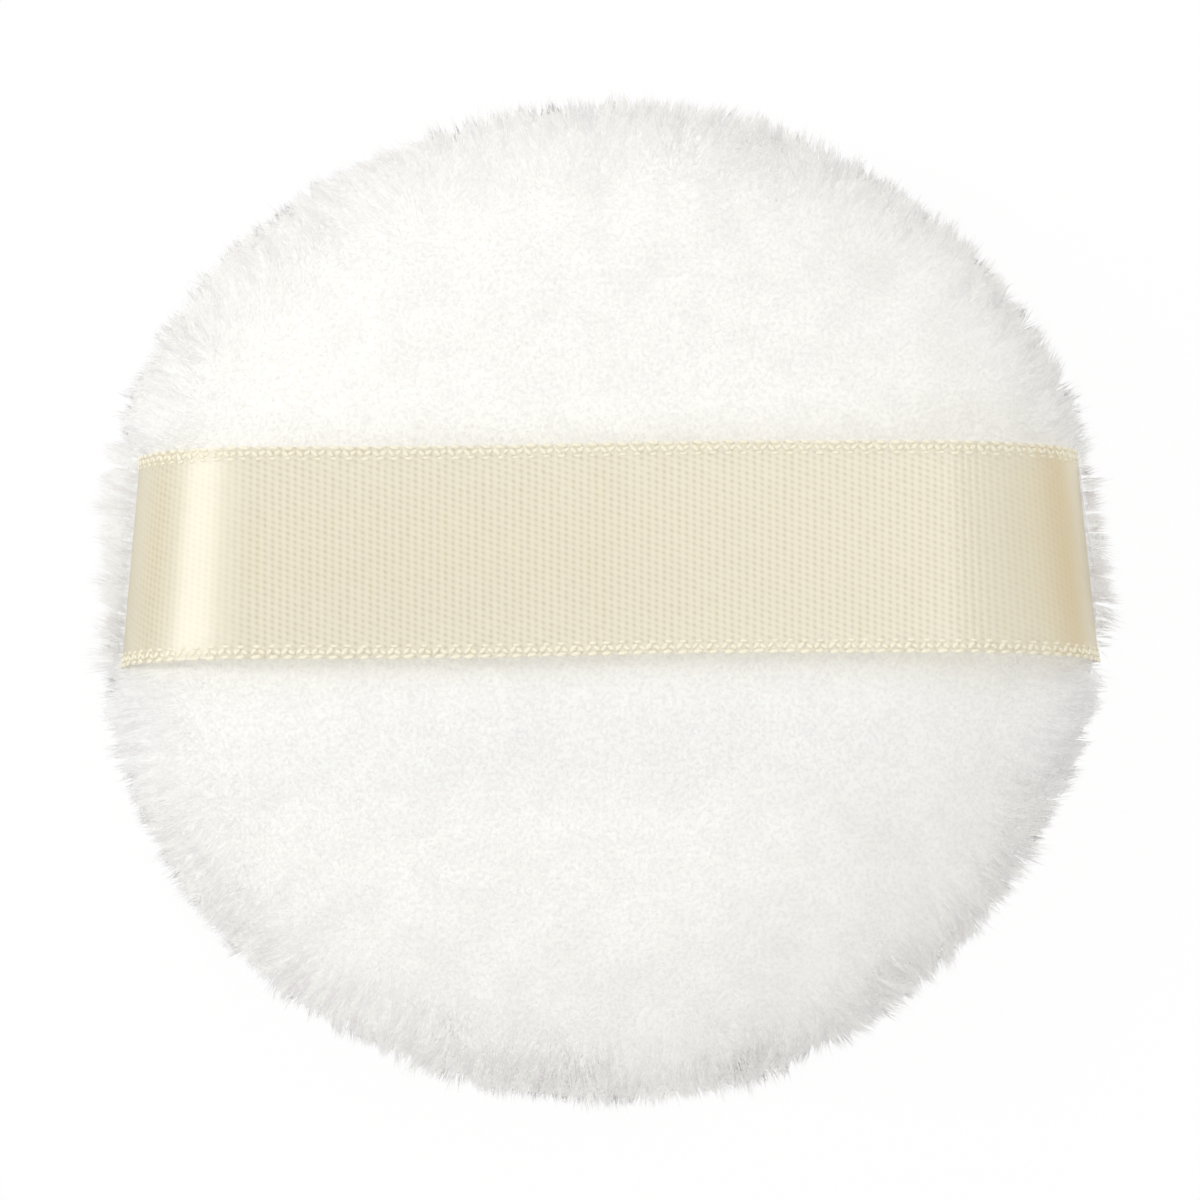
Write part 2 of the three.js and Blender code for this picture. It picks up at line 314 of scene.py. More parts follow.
def makeBacking():
    # Knitted polyester ground that the pile is looped through, white and matt, with its ribs
    material, tree = newMaterial("knitted polyester backing")
    place = addNode(tree, "ShaderNodeTexCoord")
    ribs = addNode(tree, "ShaderNodeTexWave", {"wave_type": "BANDS", "bands_direction": "X"},
                   {"Vector": place.outputs["Object"], "Scale": waveScale(backingLook["rib"]),
                    "Distortion": 0.6, "Detail": 1.0})
    fibre = addNode(tree, "ShaderNodeTexNoise", {},
                    {"Vector": place.outputs["Object"], "Scale": 1 / (backingLook["fibre"] * mm),
                     "Detail": 2.0})
    relief = addNode(tree, "ShaderNodeMix", {"data_type": "FLOAT"},
                     {0: 0.4, 2: ribs, 3: fibre})
    finishTwoTone(tree, relief, backingLook, {"Roughness": 0.95, "IOR": 1.54, "Specular IOR Level": 0.2})
    return material


foamLook = {"low": "#d9cda6", "high": "#f3ecd4", "cell": 0.4, "rim": (0.02, 0.2), "relief": 0.12}


def makeFoam():
    # Open-cell polyurethane foam: cut bubbles about 0.4 mm across, cream, quite matte
    material, tree = newMaterial("open-cell polyurethane foam")
    place = addNode(tree, "ShaderNodeTexCoord")
    cells = addNode(tree, "ShaderNodeTexVoronoi", {"feature": "DISTANCE_TO_EDGE"},
                    {"Vector": place.outputs["Object"], "Scale": 1 / (foamLook["cell"] * mm)})
    rims = addNode(tree, "ShaderNodeMapRange", {"interpolation_type": "SMOOTHSTEP"},
                   {"Value": cells, "From Min": foamLook["rim"][0], "From Max": foamLook["rim"][1],
                    "To Min": 1.0, "To Max": 0.0})
    finishTwoTone(tree, rims, foamLook, {"Roughness": 0.9, "IOR": 1.5, "Specular IOR Level": 0.3})
    return material


threadLook = {"low": "#dbd8cf", "high": "#f6f4ee", "ply": 0.35, "relief": 0.05}


def makeThread():
    # Spun polyester sewing thread: twisted plies 0.35 mm apart, white with a faint sheen
    material, tree = newMaterial("spun polyester sewing thread")
    place = addNode(tree, "ShaderNodeTexCoord")
    plies = addNode(tree, "ShaderNodeTexWave", {"wave_type": "BANDS", "bands_direction": "DIAGONAL"},
                    {"Vector": place.outputs["Object"], "Scale": waveScale(threadLook["ply"]),
                     "Distortion": 0.4, "Detail": 1.0})
    finishTwoTone(tree, plies, threadLook,
                  {"Roughness": 0.6, "IOR": 1.54, "Sheen Weight": 0.2, "Sheen Roughness": 0.4})
    return material


satinLook = {
    "float": "#fbf9ee",     # top of a warp float, where it catches the light
    "body": "#eeeada",
    "gap": "#bcb08b",       # where a weft crosses and shows between the floats
    "through": "#f8f5ec",   # light that passes through the thin cloth
    "throughShare": 0.64,
    "turned": "#e4c680",    # painted shade: darker, yellower satin where the ribbon turns steeply down at its ends, stronger on the right, away from the lamps
    "turnedShadeShare": {-1: 0.2, 1: 0.8},
    "satinHighlight": "#fefdf0",    # painted highlight: near-white satin on the bend where the low strip lamp shines, mostly on the left, and along the folded edges
    "bendHighlightShare": {-1: 0.6, 1: 0.35},
    "foldHighlightShare": {-1: 0.5, 1: 0.7},
    "pick": 0.54,           # mm between weft threads
    "row": 0.45,            # mm between rows of crossings
    "slant": 0.18,          # mm that a row moves over from one pick to the next
    "turnedShadeSlope": (0.2, 0.75),     # slopes over which these set in, as shares of upright
    "bendHighlightSlope": (0.03, 0.24),
    "bendHighlightEnd": (0.42, 0.62),
    "foldHighlightSlope": (0.6, 0.82),
    "uneven": 0.45,         # mm, how far apart the threads' own unevenness changes
    "unevenShare": 2.6,     # and how much it counts beside the weave, whose waves are one high
    "crest": (1.2, 3.4),
    "hollow": (-0.8, 1.2),
    "relief": 0.016,        # mm
    "roughness": 0.34,
    "shine": 0.26,          # roughness of the smooth float tops
}


def makeSatin():
    # Five-end polyester satin: long warp floats along the ribbon, tied down at crossings on
    # a slanting lattice, which gives an even grain of dots and a soft directional shine
    material, tree = newMaterial("polyester satin ribbon")
    place = addNode(tree, "ShaderNodeAttribute", {"attribute_name": "ribbonPlace"})
    turned = addNode(tree, "ShaderNodeAttribute", {"attribute_name": "ribbonTurnedShade"})
    satinHighlight = addNode(tree, "ShaderNodeAttribute", {"attribute_name": "ribbonHighlight"})
    axes = addNode(tree, "ShaderNodeSeparateXYZ", {}, {0: place.outputs["Vector"]})

    def turns(along, across):
        # cos(2 pi (along s + across t)), with s and t in metres on the ribbon
        a = addNode(tree, "ShaderNodeMath", {"operation": "MULTIPLY"}, {0: axes, 1: along})
        b = addNode(tree, "ShaderNodeMath", {"operation": "MULTIPLY_ADD"},
                    {0: axes.outputs[1], 1: across, 2: a})
        c = addNode(tree, "ShaderNodeMath", {"operation": "MULTIPLY"}, {0: b, 1: 2 * math.pi})
        return addNode(tree, "ShaderNodeMath", {"operation": "COSINE"}, {0: c}).outputs[0]

    pick, row = satinLook["pick"] * mm, satinLook["row"] * mm
    lean = satinLook["slant"] / satinLook["row"]
    overPicks = turns(1 / pick, 0.0)
    overRows = turns(lean / pick, 1 / row)
    crossed = addNode(tree, "ShaderNodeMath", {"operation": "ADD"}, {0: overPicks, 1: overRows})
    uneven = addNode(tree, "ShaderNodeTexNoise", {},
                     {"Vector": place.outputs["Vector"], "Scale": 1 / (satinLook["uneven"] * mm),
                      "Detail": 2.0})
    wobble = addNode(tree, "ShaderNodeMath", {"operation": "MULTIPLY_ADD"},
                     {0: uneven, 1: satinLook["unevenShare"], 2: crossed})
    crest, hollow = [addNode(tree, "ShaderNodeMapRange", {"interpolation_type": "SMOOTHSTEP"},
                             {"Value": wobble, "From Min": low, "From Max": high})
                     for low, high in (satinLook["crest"], satinLook["hollow"])]
    colour = linear(satinLook["gap"])
    # Painted shade and painted highlight: the turned colour darkens the ribbon's steep ends and the highlight
    # colour lightens its bend and folds, both by slope
    for share, name in ((hollow, "body"), (crest, "float"), (turned.outputs["Fac"], "turned"),
                        (satinHighlight.outputs["Fac"], "satinHighlight")):
        colour = addNode(tree, "ShaderNodeMix", {"data_type": "RGBA"},
                         {0: share, 6: colour, 7: linear(satinLook[name])}).outputs[2]
    shader = addNode(tree, "ShaderNodeBsdfPrincipled", {},
                     {"Base Color": colour, "Roughness": satinLook["roughness"], "IOR": 1.6,
                      "Specular IOR Level": 1.0, "Coat Weight": 1.0,
                      "Coat Roughness": satinLook["shine"], "Coat IOR": 1.72})
    through = addNode(tree, "ShaderNodeBsdfTranslucent", {}, {"Color": linear(satinLook["through"])})
    join = addNode(tree, "ShaderNodeAttribute", {"attribute_name": "ribbonJoin"})
    passed = addNode(tree, "ShaderNodeMath", {"operation": "ADD", "use_clamp": True},
                     {0: join.outputs["Fac"], 1: satinLook["throughShare"]})
    surface = addNode(tree, "ShaderNodeMixShader", {},
                      {0: passed, 1: shader, 2: through})
    finishMaterial(tree, shader, wobble, satinLook["relief"] * mm, surface=surface)
    return material


selvedgeLook = {"low": "#ece5cc", "high": "#f5f0dc", "strand": 0.12, "relief": 0.02}


def makeSelvedge():
    # The same polyester, in thicker weft loops that turn back at the ribbon's edges
    material, tree = newMaterial("polyester ribbon selvedge loops")
    place = addNode(tree, "ShaderNodeTexCoord")
    strands = addNode(tree, "ShaderNodeTexNoise", {},
                      {"Vector": place.outputs["Object"], "Scale": 1 / (selvedgeLook["strand"] * mm),
                       "Detail": 1.0})
    finishTwoTone(tree, strands, selvedgeLook, {"Roughness": 0.45, "IOR": 1.6, "Specular IOR Level": 0.4})
    return material


plush = makePlush()
backing = makeBacking()
foam = makeFoam()
thread = makeThread()
satin = makeSatin()
selvedge = makeSelvedge()
print("materials made")


# Form of the pad. Every height here is over the table and every length in mm.

padForm = {
    "reach": 36.85,                 # middle of the pad to the tips of the pile, on average
    "reachWaves": [(1, 0.2, 75.0), (2, 0.374, 23.7), (3, 0.291, 93.0), (5, 0.192, 11.2)],
    "pileBeyond": 0.7,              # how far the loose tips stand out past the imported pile
    "seam": 7.4,
    "crown": 16.4,
    "rest": 0.35,
    "roundnessBack": 2.6,
    "roundnessFace": 2.8,
    "seamDraw": 0.5,
    "seamDrawHeight": 0.8,
    "steps": 256,
    "rowsOut": 64,
    "unevenWaves": ((0.16, 0.16), (0.4, 0.07)),     # waves to a mm, and mm high
    "pileDeep": 1.2,                # packed pile, from its surface down to the knitted backing
    "backingGap": 0.1,
}

# What the covers share with the foam and each other, from the part's own sizes
inside = {
    "halfWidth": 36.5,
    "halfDepth": 35.8,
    "liningBack": 3.2,
    "liningFace": 3.7,
    "crownRise": 1.4,
    "rim": 4.5,
    "foamEdgeRun": 5.0,
    "foot": 2.35,
    "allowanceEdge": 10.5,
    "allowanceTop": 1.15,
    "seamGap": 0.15,
    "steps": 7,
}

ribbonForm = {
    "width": 15.2,
    "thickness": 0.22,
    "offset": 2.83,             # its middle line over the pad's, on average
    "centreLeft": 2.6,          # and at its left and right end
    "centreRight": 3.06,
    "centreRun": 9.0,
    "top": 19.6,
    "fall": 0.3,
    "spanHalf": 24.0,
    "exits": {-1: (33.86, 0.085), 1: (35.25, 0.105)},   # reach at the middle line, and lean
    "coverEdge": {-1: 33.56, 1: 34.9},   # how far out the face cover's edge is, under the ribbon
    "tuckRadius": 1.2,
    "tailEnd": 27.0,
    "acrossSteps": 40,
    "alongSteps": (40, 60, 8),      # on the span, round its bend, and in the tuck and the tail
}

# Weft loops along both edges of the ribbon: size is along, across and thick
selvedgeForm = {
    "pitch": 1.09,
    "rows": [
        {"shift": 0.0, "inset": 0.08, "size": (0.74, 0.34, 0.2), "turn": 8},
        {"shift": -0.26, "inset": 0.5, "size": (0.62, 0.34, 0.18), "turn": 44},
        {"shift": 0.28, "inset": 0.44, "size": (0.54, 0.32, 0.16), "turn": -30},
        {"shift": 0.0, "inset": 0.86, "size": (0.56, 0.26, 0.12), "turn": 0},
    ],
    "jitter": 0.06,
    "seed": 11,
}


def ribbonCentre(x):
    # The ribbon lies a little askew, with its middle line shifting over about the pad's middle
    low, high = ribbonForm["centreLeft"], ribbonForm["centreRight"]
    return low + (high - low) * (1 + np.tanh((x + 1) / ribbonForm["centreRun"])) / 2


def reachAt(angle):
    total = np.full_like(angle, padForm["reach"])
    for count, size, phase in padForm["reachWaves"]:
        total = total + size * np.cos(count * angle - math.radians(phase))
    return total


def bodyRadius(angle):
    return reachAt(angle) - padForm["pileBeyond"]


def ribbonExit(side, y):
    # How far out the ribbon goes into the seam, which is further out towards the front
    reach, lean = ribbonForm["exits"][side]
    return reach - lean * (np.clip(y, -12, 12) - ribbonForm["offset"])


def legReach(side, y, height):
    # How far out the ribbon's middle line is at a height, on one side
    foot = padForm["seam"] + ribbonForm["tuckRadius"]
    top = ribbonForm["top"] - ribbonForm["fall"]
    share = np.clip((height - foot) / (top - foot), 0, 1)
    start = ribbonForm["spanHalf"]
    return start + (ribbonExit(side, y) - start) * np.sqrt(1 - share ** 2)


def angles():
    return np.arange(padForm["steps"]) / padForm["steps"] * 2 * math.pi


def outerRows(side, rise=1.0):
    # Rows of points from the crown to the seam, on the back (side 1) or the face (side -1)
    turn = angles()
    radius = bodyRadius(turn)
    if side > 0:
        tall, round_ = padForm["crown"] - padForm["seam"], padForm["roundnessBack"]
    else:
        tall, round_ = padForm["seam"] - padForm["rest"], padForm["roundnessFace"]
    rows = []
    for t in np.linspace(0, 1, padForm["rowsOut"]):
        bend = t ** 0.9 * math.pi / 2
        share = math.sin(bend) ** (2 / round_)
        height = tall * max(math.cos(bend), 0) ** (2 / round_) * rise
        drawn = padForm["seamDraw"] * math.exp(-(height / padForm["seamDrawHeight"]) ** 2)
        r = (radius - drawn) * share
        z = padForm["seam"] + side * height
        rows.append(np.stack([r * np.cos(turn), r * np.sin(turn), np.full_like(r, z)], 1))
    return rows


def ringFaces(rowCount, steps, turned):
    # Faces of a closed shell whose first and last rows are single points
    faces = []
    last = 1 + (rowCount - 2) * steps
    for k in range(steps):
        n = (k + 1) % steps
        faces.append((0, 1 + k, 1 + n))
        for r in range(rowCount - 3):
            a, b = 1 + r * steps, 1 + (r + 1) * steps
            faces.append((a + k, b + k, b + n, a + n))
        a = 1 + (rowCount - 3) * steps
        faces.append((a + k, last, a + n))
    return [f[::-1] for f in faces] if turned else faces


def ringPoints(rows):
    return np.concatenate([rows[0][:1], *rows[1:-1], rows[-1][:1]])


# Cloth simulation: the whole pad as one closed bag, held at its seam

simulation = {
    "scale": 10,        # the cloth solver likes sizes near a cushion's
    "voxel": 15.0,      # mm at that scale
    "pressure": 4.0,
    "frames": 20,
    "startRise": 0.9,
    "cap": 1.3,         # mm at full size
    "heldBand": 1.3,    # mm over and under the seam
}


def simulatedPad():
    scale = simulation["scale"] * mm
    back, face = outerRows(1, simulation["startRise"]), outerRows(-1, simulation["startRise"])
    rows = back + face[::-1][1:]
    bag = meshObject("bag", ringPoints(rows) * scale, ringFaces(len(rows), padForm["steps"], False))
    remesh = bag.modifiers.new("remesh", "REMESH")
    remesh.mode = "VOXEL"
    remesh.voxel_size = simulation["voxel"] * mm
    bag.data = bpy.data.meshes.new_from_object(bag.evaluated_get(bpy.context.evaluated_depsgraph_get()))
    bag.modifiers.clear()
    before = pointsOf(bag.data) / scale
    held = bag.vertex_groups.new(name="held")
    nearSeam = np.abs(before[:, 2] - padForm["seam"]) < simulation["heldBand"]
    held.add([int(i) for i in np.nonzero(nearSeam)[0]], 1.0, "REPLACE")
    cloth = bag.modifiers.new("cloth", "CLOTH")
    cloth.settings.use_pressure = True
    cloth.settings.uniform_pressure_force = simulation["pressure"]
    cloth.settings.vertex_group_mass = "held"
    cloth.settings.effector_weights.gravity = 0
    for number in range(1, simulation["frames"] + 1):
        scene.frame_set(number)
    done = bpy.data.meshes.new_from_object(bag.evaluated_get(bpy.context.evaluated_depsgraph_get()))
    after = pointsOf(done) / scale
    moved = after - before
    length = np.linalg.norm(moved, axis=1)
    print("simulated pad:", len(before), "points, moved up to", round(float(length.max()), 2), "mm")
    limit = simulation["cap"] * np.tanh(length / simulation["cap"])
    after = before + moved * (limit / np.maximum(length, 1e-9))[:, None]
    done.vertices.foreach_set("co", after.ravel())
    bag.modifiers.clear()
    bag.data = done
    smooth = bag.modifiers.new("smooth", "SUBSURF")
    smooth.levels = smooth.render_levels = 1
    final = bpy.data.meshes.new_from_object(bag.evaluated_get(bpy.context.evaluated_depsgraph_get()))
    tree = BVHTree.FromPolygons([tuple(p) for p in pointsOf(final)],
                                [tuple(f.vertices) for f in final.polygons])
    bpy.data.objects.remove(bag)
    scene.frame_set(1)
    return tree


def laidOn(rows, tree):
    # Moves the outer rows on to the simulated bag, along a line from inside the pad
    result = []
    for row in rows:
        new = row.copy()
        for i, p in enumerate(row):
            inner = Vector((p[0] * 0.8, p[1] * 0.8, padForm["seam"] + (p[2] - padForm["seam"]) * 0.2))
            way = (Vector(p) - inner).normalized()
            hit = tree.ray_cast(inner, way)[0]
            if hit is not None and (hit - Vector(p)).length < 2 * simulation["cap"] + 1:
                new[i] = hit
        result.append(new)
    return result


def pressed(rows, side):
    # Flat where it rests on the table, grooved where the ribbon's ends lie against it, and
    # very slightly uneven, as a hand-filled pad is
    result = []
    offset, half = ribbonForm["offset"], ribbonForm["width"] / 2
    for row in rows:
        new = row.copy()
        for i, p in enumerate(new):
            bump = sum(noise.noise(Vector(p) * waves) * high for waves, high in padForm["unevenWaves"])
            outward = Vector((p[0] / 36, p[1] / 36, (p[2] - padForm["seam"]) / 7)).normalized()
            new[i] = p + np.array(outward) * bump
        if side < 0:
            # The ribbon's tails draw the face cover's edge in with them
            y = np.clip(new[:, 1], offset - half, offset + half)
            inTails = 1 - smoothstep(half + 0.3, half + 3.0, np.abs(new[:, 1] - offset))
            below = smoothstep(0, 3.0, padForm["seam"] - new[:, 2])
            for sign in (-1, 1):
                edge = ribbonExit(sign, y) - ribbonExit(sign, offset) + ribbonForm["coverEdge"][sign]
                over = np.maximum(new[:, 0] * sign - edge - 3 * below, 0)
                new[:, 0] -= sign * over * inTails * (new[:, 0] * sign > 20)
            low = padForm["rest"]
            under = np.minimum(new[:, 2] - low, 0)
            new[:, 2] = np.maximum(new[:, 2], low) + 0.1 * under
        inBand = 1 - smoothstep(half + 0.3, half + 2.3, np.abs(new[:, 1] - offset))
        for sign in (-1, 1):
            here = (new[:, 0] * sign > 20) & (side > 0)
            y = np.clip(new[:, 1], offset - half, offset + half)
            limit = legReach(sign, y, new[:, 2]) - 0.45
            over = np.maximum(new[:, 0] * sign - limit, 0) * inBand * here
            new[:, 0] -= sign * over
        result.append(new)
    return result


def liningRows(side):
    # The seam allowance and the lining side, from the seam inwards and back to the middle
    turn = angles()
    lining = inside["liningBack"] if side > 0 else inside["liningFace"]
    edge, rim, run = inside["allowanceEdge"], inside["rim"], inside["foamEdgeRun"]
    places = [(edge, 1, inside["seamGap"]), (edge, 1, inside["allowanceTop"]),
              (rim, 1, inside["allowanceTop"])]
    for k in range(inside["steps"] + 1):
        quarter = k / inside["steps"] * math.pi / 2
        places.append((rim + run * (1 - math.cos(quarter)), 1,
                       inside["foot"] + (lining - inside["foot"]) * math.sin(quarter)))
    for k in range(1, inside["steps"] + 1):
        share = 1 - k / inside["steps"]
        places.append((rim + run, share, lining + inside["crownRise"] * (1 - share ** 2)))
    rows = []
    for inset, share, height in places:
        x = (inside["halfWidth"] - inset) * share * np.cos(turn)
        y = (inside["halfDepth"] - inset) * share * np.sin(turn)
        z = np.full_like(x, height)
        if height == inside["seamGap"]:
            z = z + 0.2 * underRibbon(x, y)
        rows.append(np.stack([x, y, padForm["seam"] + side * z], 1))
    return rows


def underRibbon(x, y):
    # 1 where the ribbon's tails lie between the covers
    half = ribbonForm["width"] / 2
    return (1 - smoothstep(half + 0.2, half + 1.2, np.abs(y - ribbonForm["offset"]))) * (np.abs(x) > 20)


# The pile: one tapered lock of fibres, planted over the cover by Geometry Nodes

pile = {
    "rimDensity": 34e6,         # locks on a square metre, where the pile is combed
    "crownShare": 0.55,         # and what share of them grows on the crown
    "restShare": 0.25,
    "width": 0.05 * mm,
    "bend": 0.1,                # how far a lock bows off its straight line, as a share of its length
    "jitter": 0.2,
    "lengthJitter": 0.35,
    "fineClump": 0.55 * mm,
    "fineClumpPull": 0.3,
    "tuft": 1.6 * mm,
    "tuftPull": 0.22,
    "seed": 7,
    "crownLength": 0.7,
    "rimLength": 1.45,
    "restLength": 0.9,
    "crownLift": 0.12,
    "rimLift": 0.4,
    "seamLift": 0.42,
    "shadeSpread": 0.1,
}


def fibreObject():
    # Root, a ring of three points and tip, bowed outwards: a closed mesh of six triangles, one
    # wide and one long, flatter than it is wide. The ring is level, so that no bow turns a side
    # inside out.
    points = [(0, 0, 0), (0.35, 0, 0.43), (-0.1, 0.5, 0.43), (-0.1, -0.5, 0.43), (0, 0, 1)]
    faces = [(0, 2, 1), (0, 3, 2), (0, 1, 3), (4, 1, 2), (4, 2, 3), (4, 3, 1)]
    fibre = meshObject("fibre", points, faces)
    storeOnPoints(fibre.data, "bow", [0, 1, 1, 1, 0])
    storeOnPoints(fibre.data, "alongFibre", [0, 0.43, 0.43, 0.43, 1])
    return fibre


def pileTree(fibre):
    tree = bpy.data.node_groups.new("plush pile", "GeometryNodeTree")
    sockets = {}
    tree.interface.new_socket("Geometry", in_out="INPUT", socket_type="NodeSocketGeometry")
    for name, kind in (("Density", "Float"), ("Width", "Float"), ("Jitter", "Float"),
                       ("Length Jitter", "Float"), ("Bend", "Float"), ("Fine Clump Size", "Float"),
                       ("Fine Clump Pull", "Float"), ("Tuft Size", "Float"), ("Tuft Pull", "Float"),
                       ("Shade Spread", "Float"), ("Seed", "Int"), ("Material", "Material")):
        made = tree.interface.new_socket(name, in_out="INPUT", socket_type="NodeSocket" + kind)
        sockets[name] = made.identifier
    tree.interface.new_socket("Geometry", in_out="OUTPUT", socket_type="NodeSocketGeometry")
    given = addNode(tree, "NodeGroupInput")

    def attribute(name, kind):
        made = addNode(tree, "GeometryNodeInputNamedAttribute", {"data_type": kind}, {"Name": name})
        return made.outputs[0]

    def vectorMath(operation, first, second):
        made = addNode(tree, "ShaderNodeVectorMath", {"operation": operation},
                       {0: first, ("Scale" if operation == "SCALE" else 1): second})
        return made.outputs[0]

    def number(operation, first, second):
        return addNode(tree, "ShaderNodeMath", {"operation": operation}, {0: first, 1: second}).outputs[0]

    share = attribute("pileShare", "FLOAT")
    density = number("MULTIPLY", given.outputs["Density"], share)
    planted = addNode(tree, "GeometryNodeDistributePointsOnFaces", {},
                      {"Mesh": given.outputs["Geometry"], "Density": density, "Seed": given.outputs["Seed"]})
    place = addNode(tree, "GeometryNodeInputPosition").outputs[0]
    onPoints = {"data_type": "FLOAT_VECTOR", "domain": "POINT"}
    rooted = addNode(tree, "GeometryNodeStoreNamedAttribute", onPoints,
                     {"Geometry": planted, "Name": "rootNormal", "Value": planted.outputs["Normal"]})
    normal = attribute("rootNormal", "FLOAT_VECTOR")
    randomWay = addNode(tree, "FunctionNodeRandomValue", {"data_type": "FLOAT_VECTOR"},
                        {0: (-1, -1, -1), 1: (1, 1, 1), 8: given.outputs["Seed"]}).outputs[0]
    flatWay = vectorMath("SUBTRACT", randomWay, vectorMath("PROJECT", randomWay, normal))
    lengthNoise = addNode(tree, "FunctionNodeRandomValue", {"data_type": "FLOAT"},
                          {2: -1.0, 3: 1.0, 8: number("ADD", given.outputs["Seed"], 3.0)}).outputs[1]
    widthNoise = addNode(tree, "FunctionNodeRandomValue", {"data_type": "FLOAT"},
                         {2: 0.75, 3: 1.2, 8: number("ADD", given.outputs["Seed"], 5.0)}).outputs[1]

    def cellPull(size, pull):
        # Towards the middle of the patch that the root is in
        cell = addNode(tree, "ShaderNodeTexVoronoi", {},
                       {"Vector": place, "Scale": number("DIVIDE", 1.0, size)})
        away = vectorMath("SUBTRACT", cell.outputs["Position"], place)
        return vectorMath("SCALE", away, number("MULTIPLY", pull, attribute("pileClump", "FLOAT")))

    fine = cellPull(given.outputs["Fine Clump Size"], given.outputs["Fine Clump Pull"])
    tuft = cellPull(given.outputs["Tuft Size"], given.outputs["Tuft Pull"])

    way = vectorMath("ADD", vectorMath("SCALE", normal, attribute("pileLift", "FLOAT")),
                     attribute("pileComb", "FLOAT_VECTOR"))
    loose = number("MULTIPLY", given.outputs["Jitter"], attribute("pileLoose", "FLOAT"))
    way = vectorMath("ADD", way, vectorMath("SCALE", flatWay, loose))
    way = addNode(tree, "ShaderNodeVectorMath", {"operation": "NORMALIZE"}, {0: way}).outputs[0]
    longer = addNode(tree, "ShaderNodeMath", {"operation": "MULTIPLY_ADD"},
                     {0: lengthNoise, 1: given.outputs["Length Jitter"], 2: 1.0}).outputs[0]
    reach = number("MULTIPLY", attribute("pileLength", "FLOAT"), longer)
    tip = vectorMath("SCALE", way, reach)
    tip = vectorMath("ADD", tip, fine)
    tip = vectorMath("ADD", tip, tuft)
    tipLength = addNode(tree, "ShaderNodeVectorMath", {"operation": "LENGTH"}, {0: tip}).outputs["Value"]
    upright = addNode(tree, "FunctionNodeAlignRotationToVector", {"axis": "Z"}, {"Vector": tip}).outputs[0]
    turned = addNode(tree, "FunctionNodeAlignRotationToVector", {"axis": "X", "pivot_axis": "Z"},
                     {"Rotation": upright, "Vector": attribute("shadeWay", "FLOAT_VECTOR")}).outputs[0]
    thick = number("MULTIPLY", given.outputs["Width"], widthNoise)
    size = addNode(tree, "ShaderNodeCombineXYZ", {}, {0: thick, 1: thick, 2: tipLength}).outputs[0]
    one = addNode(tree, "GeometryNodeObjectInfo", {"transform_space": "ORIGINAL"}, {"Object": fibre})
    tinted = vectorMath("ADD", attribute("shadeWay", "FLOAT_VECTOR"),
                        vectorMath("SCALE", randomWay, given.outputs["Shade Spread"]))
    shadeNormal = addNode(tree, "ShaderNodeVectorMath", {"operation": "NORMALIZE"}, {0: tinted}).outputs[0]
    kept = addNode(tree, "GeometryNodeStoreNamedAttribute", onPoints,
                   {"Geometry": rooted, "Name": "shadeNormal", "Value": shadeNormal})
    standing = addNode(tree, "GeometryNodeInstanceOnPoints", {},
                       {"Points": kept, "Instance": one.outputs["Geometry"],
                        "Rotation": turned, "Scale": size})
    real = addNode(tree, "GeometryNodeRealizeInstances", {}, {"Geometry": standing})
    bowed = number("MULTIPLY", number("MULTIPLY", attribute("bow", "FLOAT"), given.outputs["Bend"]),
                   attribute("pileLength", "FLOAT"))
    arched = addNode(tree, "GeometryNodeSetPosition", {},
                     {"Geometry": real, "Offset": vectorMath("SCALE", normal, bowed)})
    mapped = addNode(tree, "GeometryNodeStoreNamedAttribute", {"data_type": "FLOAT2", "domain": "CORNER"},
                     {"Geometry": arched, "Name": "OFBake",
                      "Value": attribute("rootMap", "FLOAT_VECTOR")})
    coloured = addNode(tree, "GeometryNodeSetMaterial", {},
                       {"Geometry": mapped, "Material": given.outputs["Material"]})
    addNode(tree, "NodeGroupOutput", {}, {"Geometry": coloured})
    return tree, sockets


def grow(cover, tree, sockets):
    # The pile as its own mesh: the tree runs on the cover and gives back the fibres alone
    planter = cover.copy()
    scene.collection.objects.link(planter)
    sown = planter.modifiers.new("pile", "NODES")
    sown.node_group = tree
    for name, value in (("Density", pile["rimDensity"]), ("Width", pile["width"]), ("Jitter", pile["jitter"]),
                        ("Length Jitter", pile["lengthJitter"]), ("Bend", pile["bend"]),
                        ("Shade Spread", pile["shadeSpread"]), ("Fine Clump Size", pile["fineClump"]),
                        ("Fine Clump Pull", pile["fineClumpPull"]), ("Tuft Size", pile["tuft"]),
                        ("Tuft Pull", pile["tuftPull"]), ("Seed", pile["seed"]), ("Material", plush)):
        sown[sockets[name]] = value
    grown = bpy.data.meshes.new_from_object(planter.evaluated_get(bpy.context.evaluated_depsgraph_get()))
    bpy.data.objects.remove(planter)
    return grown


def unit(vectors):
    return vectors / np.maximum(np.linalg.norm(vectors, axis=1), 1e-6)[:, None]


def drawnIn(rows, side, depth):
    # The same rows a certain depth further inside the pad, still level with the seam gap
    tall = padForm["crown"] - padForm["seam"] if side > 0 else padForm["seam"] - padForm["rest"]
    inner = []
    for row in rows:
        new = row.copy()
        new[:, :2] *= 1 - depth / padForm["reach"]
        new[:, 2] = padForm["seam"] + (row[:, 2] - padForm["seam"]) * (1 - depth / tall)
        inner.append(new)
    inner[-1][:, 2] = rows[-1][:, 2]
    return inner


# Where each round patch of a cover's bake map has its middle, and how far it reaches

bakeMap = {"big": (0.4, 0.38), "small": (0.89, 0.1)}


